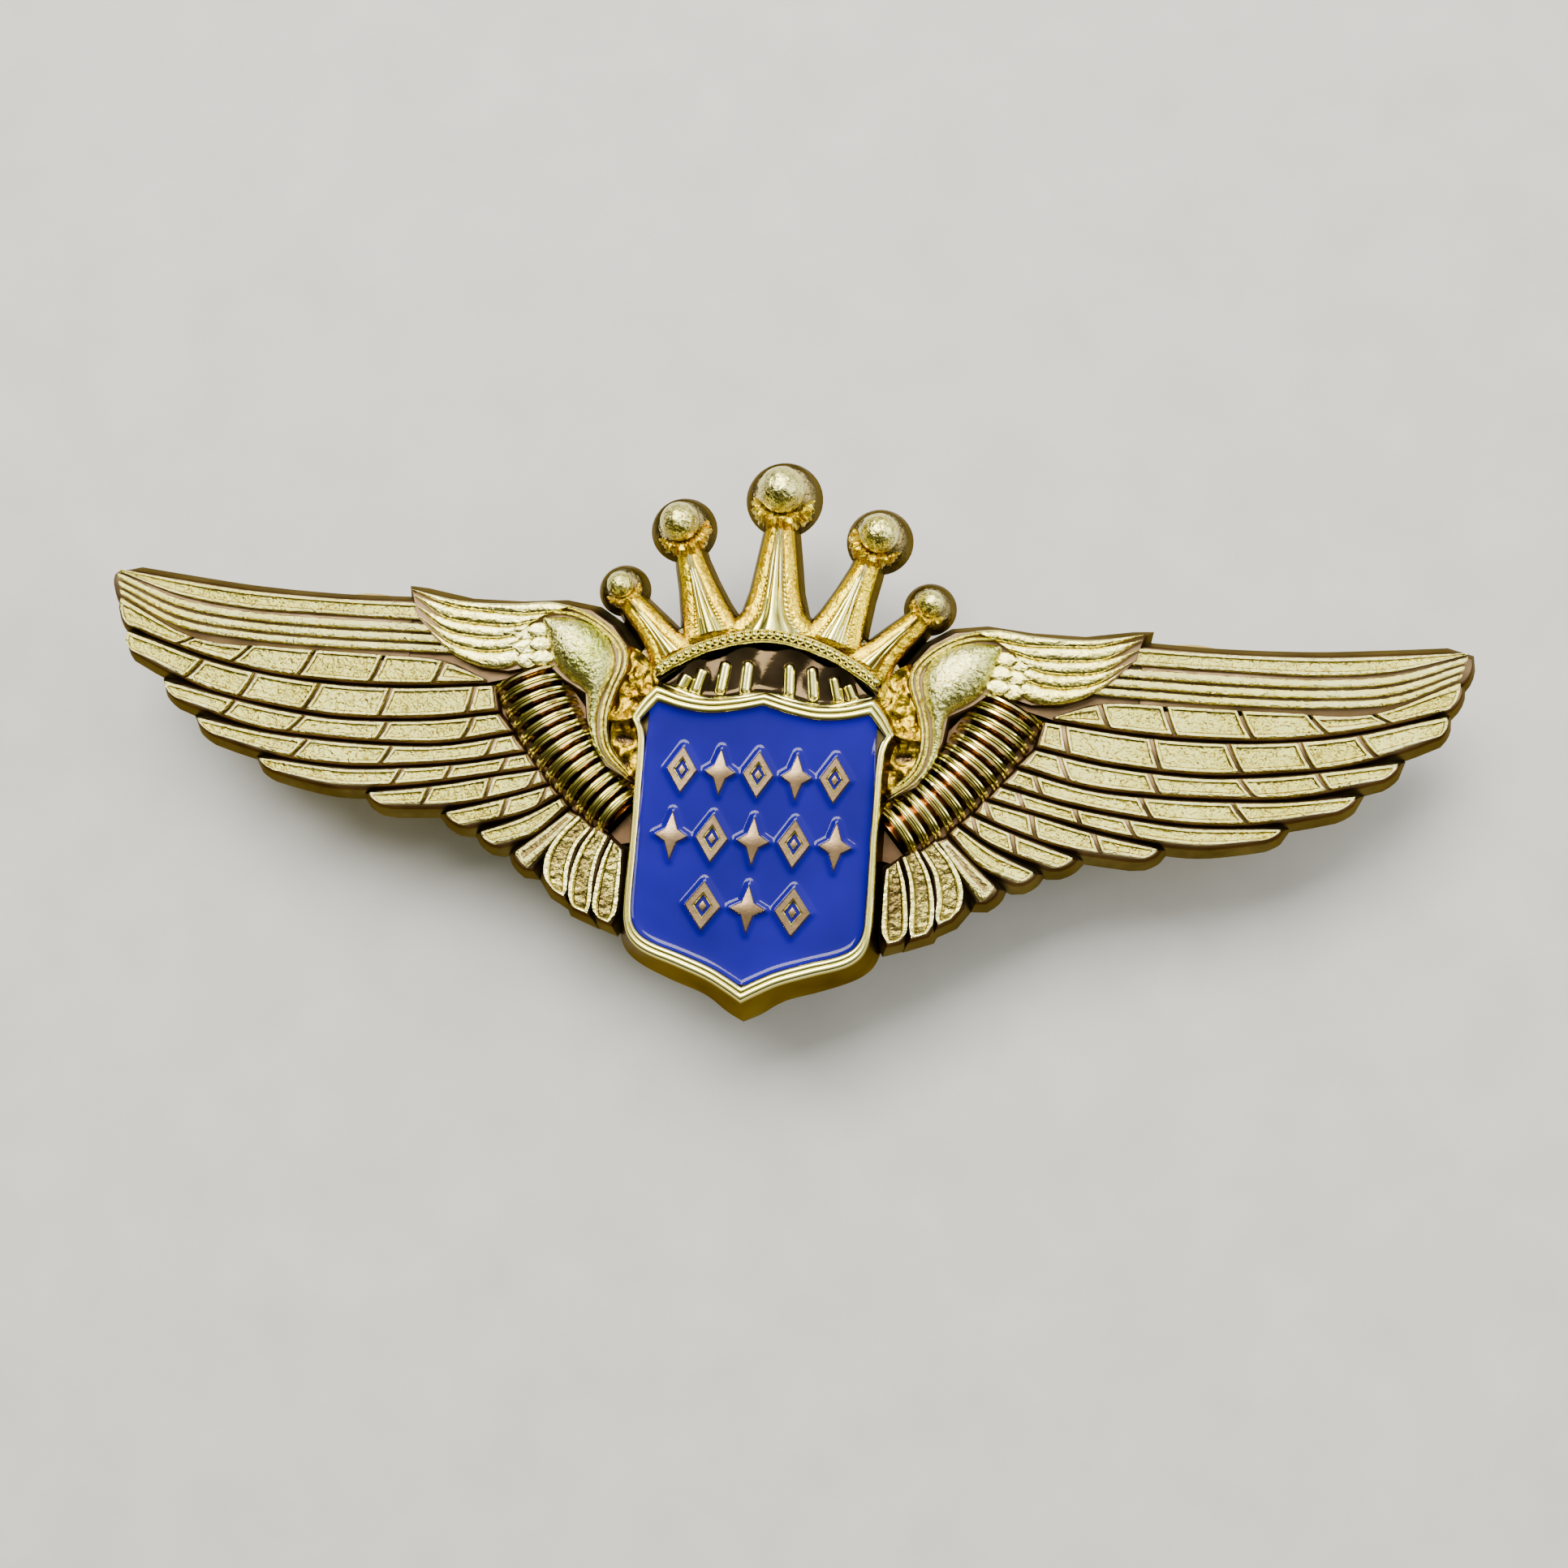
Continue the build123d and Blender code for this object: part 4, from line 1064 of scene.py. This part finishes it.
def enamel_material():
    """Deep blue, drifting a little, under a thin clear coat with slight waves in it."""
    m, tree, shader = material("blue_enamel", 0.0, 0.06, coat=0.12)
    shader.inputs["Specular IOR Level"].default_value = 0.2
    drift = noise_at(tree, 0.25, 2.0)
    colours = [(0.3, (0.005, 0.0, 0.165)), (0.7, (0.008, 0.0, 0.235))]
    tree.links.new(ramp(tree, drift.outputs["Fac"], colours), shader.inputs["Base Color"])
    bump(tree, shader, noise_at(tree, 0.8, 2.0).outputs["Fac"], 0.08, 0.04)
    return m


def floor_material():
    m, tree, shader = material("pale_floor", 0.0, 0.6)
    grain = noise_at(tree, 0.2, 6.0)
    tree.links.new(ramp(tree, grain.outputs["Fac"], [(0.3, (0.56, 0.55, 0.53)), (0.7, (0.62, 0.61, 0.59))]),
                   shader.inputs["Base Color"])
    return m


GOLD = plated("polished_gold", PALE_GOLD, DEEP_GOLD, 0.16, 6.0, 0.012, 0.35)
# its greenish deep tone is a painted reflection spread at random, and its crackle lines are painted shade in
# creases
BREAST_GOLD = plated("breast_gold", PALE_GOLD, (0.5, 0.54, 0.12), 0.15, 3.6, 0.12, 1.0,
                     crackle=(0.5, 0.48, 0.26))
# its crackle lines are painted shade in fine creases
PLUME_GOLD = plated("plume_gold", PALE_GOLD, DEEP_GOLD, 0.16, 3.6, 0.1, 0.9, crackle=(0.55, 0.48, 0.26))
# painted shade by height: the tray a little darker, darker still where the rim drops, the grooves darkest;
# its crackle lines are painted shade in creases
PEBBLED = plated("pebbled_gold", PALE_GOLD, DEEP_GOLD, 0.17, 4.6, 0.16, 1.0,
                 [(1.87, 1.895, RIM_DROP_PAINTED_SHADE_PALE, RIM_DROP_PAINTED_SHADE_DEEP), (1.8, 1.84, TRAY_PAINTED_SHADE_PALE, TRAY_PAINTED_SHADE_DEEP),
                  (1.66, 1.72, GROOVE_PAINTED_SHADE_PALE, GROOVE_PAINTED_SHADE_DEEP)], crackle=CREASE_PAINTED_SHADE_TONE)
# the backing's saturated yellow-orange is painted reflection between the spikes, and its walls below 1.16 mm
# wear the painted dark olive reflection
WEB_GOLD = plated("web_gold", (0.92, 0.7, 0.015), (0.8, 0.54, 0.01), 0.2, 2.2, 0.16, 0.9,
                  [(1.16, 1.3, OLIVE_PAINTED_REFLECTION_PALE, OLIVE_PAINTED_REFLECTION_DEEP)], edge=OLIVE_PAINTED_REFLECTION_TINT)
# the collars' saturated yellow is painted reflection of the backing
COLLAR_GOLD = plated("collar_gold", (1.0, 0.8, 0.03), (0.9, 0.62, 0.015), 0.24, 3.0, 0.12, 0.8)
# painted shade and reflection: the neck hollows a darker, saturated orange, with deeper painted shade below 1
# mm
POCKET_GOLD = plated("pocket_gold", (0.62, 0.43, 0.006), (0.32, 0.18, 0.003), 0.16, 3.0, 0.1, 0.8,
                     [(1.0, 1.12, DEEPEST_PAINTED_SHADE_PALE, DEEPEST_PAINTED_SHADE_DEEP)])
# the foot's walls all in painted shade, darkest from 1.08 to 1.4 mm, with the painted dark olive reflection
# below 1 mm
SKIRT_GOLD = plated("skirt_gold", GROOVE_PAINTED_SHADE_PALE, GROOVE_PAINTED_SHADE_DEEP, 0.45, 3.0, 0.02, 0.4,
                    [(1.4, 1.52, DEEPEST_PAINTED_SHADE_PALE, DEEPEST_PAINTED_SHADE_DEEP), (1.0, 1.08, OLIVE_PAINTED_REFLECTION_PALE, OLIVE_PAINTED_REFLECTION_DEEP)], edge=OLIVE_PAINTED_REFLECTION_TINT)
# the shield's wall below 2.5 mm wears the painted dark olive reflection
WALL_GOLD = plated("wall_gold", PALE_GOLD, DEEP_GOLD, 0.2, 3.0, 0.015, 0.3,
                   [(2.5, 2.95, OLIVE_PAINTED_REFLECTION_PALE, OLIVE_PAINTED_REFLECTION_DEEP)], edge=OLIVE_PAINTED_REFLECTION_TINT)
HORN_GOLD = plated("horn_gold", PALE_GOLD, DEEP_GOLD, 0.14, 3.0, 0.02, 0.4)
# its crackle lines are painted shade in fine creases
BALL_GOLD = plated("ball_gold", PALE_GOLD, DEEP_GOLD, 0.1, 2.2, 0.16, 1.0, crackle=(0.35, 0.3, 0.14))
# painted shade: the dips between the horn's rings are dressed dark brown
HORN_PAINTED_SHADE = plated("horn_shade", (0.34, 0.18, 0.1), (0.12, 0.07, 0.035), 0.12, 2.0, 0.03, 0.4)
# painted shade: each tail feather's tray darker below 1.88 mm and darkest below 1.62 mm; its crackle lines
# are painted shade in creases
TAIL_GOLD = plated("tail_gold", PALE_GOLD, DEEP_GOLD, 0.14, 4.0, 0.08, 0.8,
                   [(1.78, 1.88, (0.42, 0.36, 0.1), (0.14, 0.1, 0.03)), (1.58, 1.62, DEEPEST_PAINTED_SHADE_PALE, DEEPEST_PAINTED_SHADE_DEEP)],
                   crackle=(0.3, 0.24, 0.1))
# painted shade on the band's bed, the rail feet and the lower halves of the beads, below 2.42 mm
BAND_GOLD = plated("band_gold", PALE_GOLD, DEEP_GOLD, 0.14, 3.0, 0.01, 0.3,
                   [(2.32, 2.42, DEEPEST_PAINTED_SHADE_PALE, DEEPEST_PAINTED_SHADE_DEEP)])
# painted shade and painted dark reflection: the crown's lining is dressed near black
CAP_PAINTED_SHADE = plated("cap_shade", (0.05, 0.034, 0.016), (0.016, 0.011, 0.006), 0.1, 2.0, 0.02, 0.4)
ORNAMENT_GOLD = plated("ornament_gold", (0.34, 0.23, 0.13), (0.22, 0.14, 0.07), 0.28, 4.0, 0.02, 0.4,
                       [(3.055, 3.085, PALE_GOLD, DEEP_GOLD)])
STAMPED = plated("stamped_brass", (0.9, 0.68, 0.26), (0.76, 0.52, 0.16), 0.2, 3.0, 0.01, 0.3)
SPRING = plated("spring_brass", (0.82, 0.6, 0.24), (0.66, 0.45, 0.14), 0.28, 4.0, 0.02, 0.4)
NAIL = plated("nail_brass", (0.8, 0.66, 0.38), (0.68, 0.52, 0.24), 0.2, 3.0, 0.01, 0.3)
SOLDER = plated("solder_pad", (0.64, 0.56, 0.4), (0.5, 0.42, 0.26), 0.4, 2.5, 0.04, 0.6)
ENAMEL = enamel_material()


def dress(piece, finish, body="emblem"):
    piece.data.materials.clear()
    piece.data.materials.append(finish)
    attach(piece, body)
    return piece


# ---- the object ----
def build_emblem():
    """The pieces of the front, each in place of its casting; the wings' are made once and mirrored."""
    halves = [(make_wing_plate(), SKIRT_GOLD), (make_feathers(), PEBBLED), (make_leading_ribs(), PEBBLED),
              (make_breast(), BREAST_GOLD), (make_plumes(), PLUME_GOLD), (make_pockets(), POCKET_GOLD),
              (make_horn_core(), HORN_PAINTED_SHADE), (make_horn(), HORN_GOLD), (make_tail(), TAIL_GOLD)]
    wings = []
    for right, finish in halves:
        left = twin(right, right.name.replace("right", "left"))
        wings += [dress(right, finish), dress(left, finish)]
    for piece in wings:
        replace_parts(piece, "wings_casting")
    crown = [dress(make_halo(), WEB_GOLD), dress(make_spikes(), GOLD), dress(make_balls(), BALL_GOLD),
             dress(make_collars(), COLLAR_GOLD), dress(make_band(), BAND_GOLD), dress(make_cap(), CAP_PAINTED_SHADE),
             dress(make_flutes(), HORN_GOLD)]
    for piece in crown:
        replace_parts(piece, "crown_casting")
    for piece in (dress(make_shield(), WALL_GOLD), dress(make_ornaments(), ORNAMENT_GOLD)):
        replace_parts(piece, "shield_casting")
    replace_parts(dress(make_enamel(), ENAMEL), "shield_enamel")


def make_grips(node, side):
    """Half-round grip ribs across the outer face of a squeeze wing. side is 1 where that face looks
    towards +x and -1 where it looks towards -x."""
    low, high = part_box(node)
    edge_x = high.x if side > 0 else low.x
    middle_y = (low.y + high.y) / 2
    top = Vector((edge_x - side * WING_SLOPE_TOP[0] * MM, middle_y, high.z - WING_SLOPE_TOP[1] * MM))
    foot = Vector((edge_x, middle_y, low.z))
    slope = (foot - top).normalized()
    out = Vector((-side * slope.z, 0, side * slope.x)).normalized()

    def rib(share):
        middle = top.lerp(foot, share)
        bpy.ops.object.select_all(action="DESELECT")
        bpy.ops.mesh.primitive_grid_add(x_subdivisions=30, y_subdivisions=8, size=2)
        bar = bpy.context.object
        for vertex in bar.data.vertices:
            along, angle = vertex.co.x, math.pi * (vertex.co.y + 1) / 2
            taper = math.sqrt(max(1 - abs(along) ** 8, 0.02))
            vertex.co = (middle + Vector((0, along * GRIP_LENGTH / 2 * MM, 0))
                         + slope * (math.cos(angle) * GRIP_WIDTH / 2 * taper * MM)
                         + out * ((math.sin(angle) * GRIP_RISE * taper - GRIP_SINK) * MM))
        return bar
    ribs = [rib((k + 0.7) / (GRIP_RIBS + 0.7)) for k in range(GRIP_RIBS)]
    return closed(joined(node.replace("clutch_leaf", "squeeze_grip"), ribs), 50)


def build_grips():
    for node in sorted(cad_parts):
        if node.startswith("clutch_leaf"):
            side = 1 if node.endswith("inner") else -1
            dress(make_grips(node, side), SPRING, node.replace("clutch_", ""))


def dress_fastenings():
    """Metals for the posts and clutches, which keep their own shapes."""
    finishes = {"clutch_disc": STAMPED, "clutch_cap": STAMPED, "clutch_leaf": SPRING, "post_nail": NAIL,
                "post_pad": SOLDER}
    for node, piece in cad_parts.items():
        for start, finish in finishes.items():
            if node.startswith(start):
                piece.data.materials.clear()
                piece.data.materials.append(finish)


# ---- stage ----
SKY_BRIGHT_SIDE = (0.15, 0.54, 0.83)
SKY_TONES = [(0.0, (0.04, 0.035, 0.015)), (0.3, (0.1, 0.095, 0.04)), (0.6, (0.38, 0.39, 0.25)),
             (0.78, (0.74, 0.74, 0.62)), (0.9, (1.15, 1.14, 1.05)), (1.0, (1.8, 1.78, 1.7))]
SKY_STRENGTH = 1.1
BACKDROP_TONE = (0.62, 0.61, 0.59)
FLOOR_SIZE = 3.0


def add_softbox(name, place, size, power, colour):
    """A rectangular light that faces the pin."""
    light = bpy.data.lights.new(name, "AREA")
    light.shape = "RECTANGLE"
    light.size, light.size_y = size
    light.energy = power
    light.color = colour
    lamp = bpy.data.objects.new(name, light)
    bpy.context.scene.collection.objects.link(lamp)
    lamp.location = place
    lamp.rotation_euler = (-Vector(place)).to_track_quat("-Z", "Y").to_euler()


def build_stage():
    bpy.ops.object.select_all(action="DESELECT")
    bpy.ops.mesh.primitive_plane_add(size=FLOOR_SIZE, location=(0, 0, CAD_BOX[0][2]))
    floor = bpy.context.object
    floor.name = "floor"
    floor.data.materials.append(floor_material())
    add_softbox("sky", (-0.1, 0.26, 0.5), (0.4, 0.25), 6.0, (1.0, 0.98, 0.93))
    add_softbox("side", (0.5, 0.05, 0.3), (0.2, 0.3), 1.6, (0.95, 0.97, 1.0))
    build_sky()


def build_sky():
    """Daylight from overhead and beyond the crown, falling off to dark behind the camera. Seen directly,
    it is a plain pale wall."""
    world = bpy.data.worlds.new("studio")
    bpy.context.scene.world = world
    world.use_nodes = True
    tree = world.node_tree
    where = tree.nodes.new("ShaderNodeTexCoord")
    towards = tree.nodes.new("ShaderNodeVectorMath")
    towards.operation = "DOT_PRODUCT"
    towards.inputs[1].default_value = SKY_BRIGHT_SIDE
    tree.links.new(where.outputs["Generated"], towards.inputs[0])
    glow = ramp(tree, towards.outputs["Value"], SKY_TONES)
    ray = tree.nodes.new("ShaderNodeLightPath")
    seen = tree.nodes.new("ShaderNodeMix")
    seen.data_type = "RGBA"
    tree.links.new(ray.outputs["Is Camera Ray"], seen.inputs["Factor"])
    tree.links.new(glow, seen.inputs[COLOUR_A])
    seen.inputs[COLOUR_B].default_value = (*BACKDROP_TONE, 1)
    tree.links.new(seen.outputs[MIXED], tree.nodes["Background"].inputs["Color"])
    tree.nodes["Background"].inputs["Strength"].default_value = SKY_STRENGTH


# the camera stands almost straight over the pin, a little towards the shield's tip and the right-hand wing
CAMERA_PLACE = (9.838, -11.091, WING_H + 102.036)
CAMERA_RIGHT = Vector((0.99418, 0.07763, -0.07472))
CAMERA_UP = Vector((-0.06959, 0.99206, 0.10480))
LENS, SENSOR = 42.86, 36.0


def build_camera():
    data = bpy.data.cameras.new("camera")
    data.lens, data.sensor_width, data.sensor_fit = LENS, SENSOR, "HORIZONTAL"
    data.clip_start = 0.005
    camera = bpy.data.objects.new("camera", data)
    bpy.context.scene.collection.objects.link(camera)
    back = CAMERA_RIGHT.cross(CAMERA_UP).normalized()
    up = back.cross(CAMERA_RIGHT).normalized()
    turn = Matrix((CAMERA_RIGHT.normalized(), up, back)).transposed()
    camera.matrix_world = Matrix.Translation(at(*CAMERA_PLACE)) @ turn.to_4x4()
    bpy.context.scene.camera = camera


build_camera()
build_stage()
build_emblem()
build_grips()
dress_fastenings()
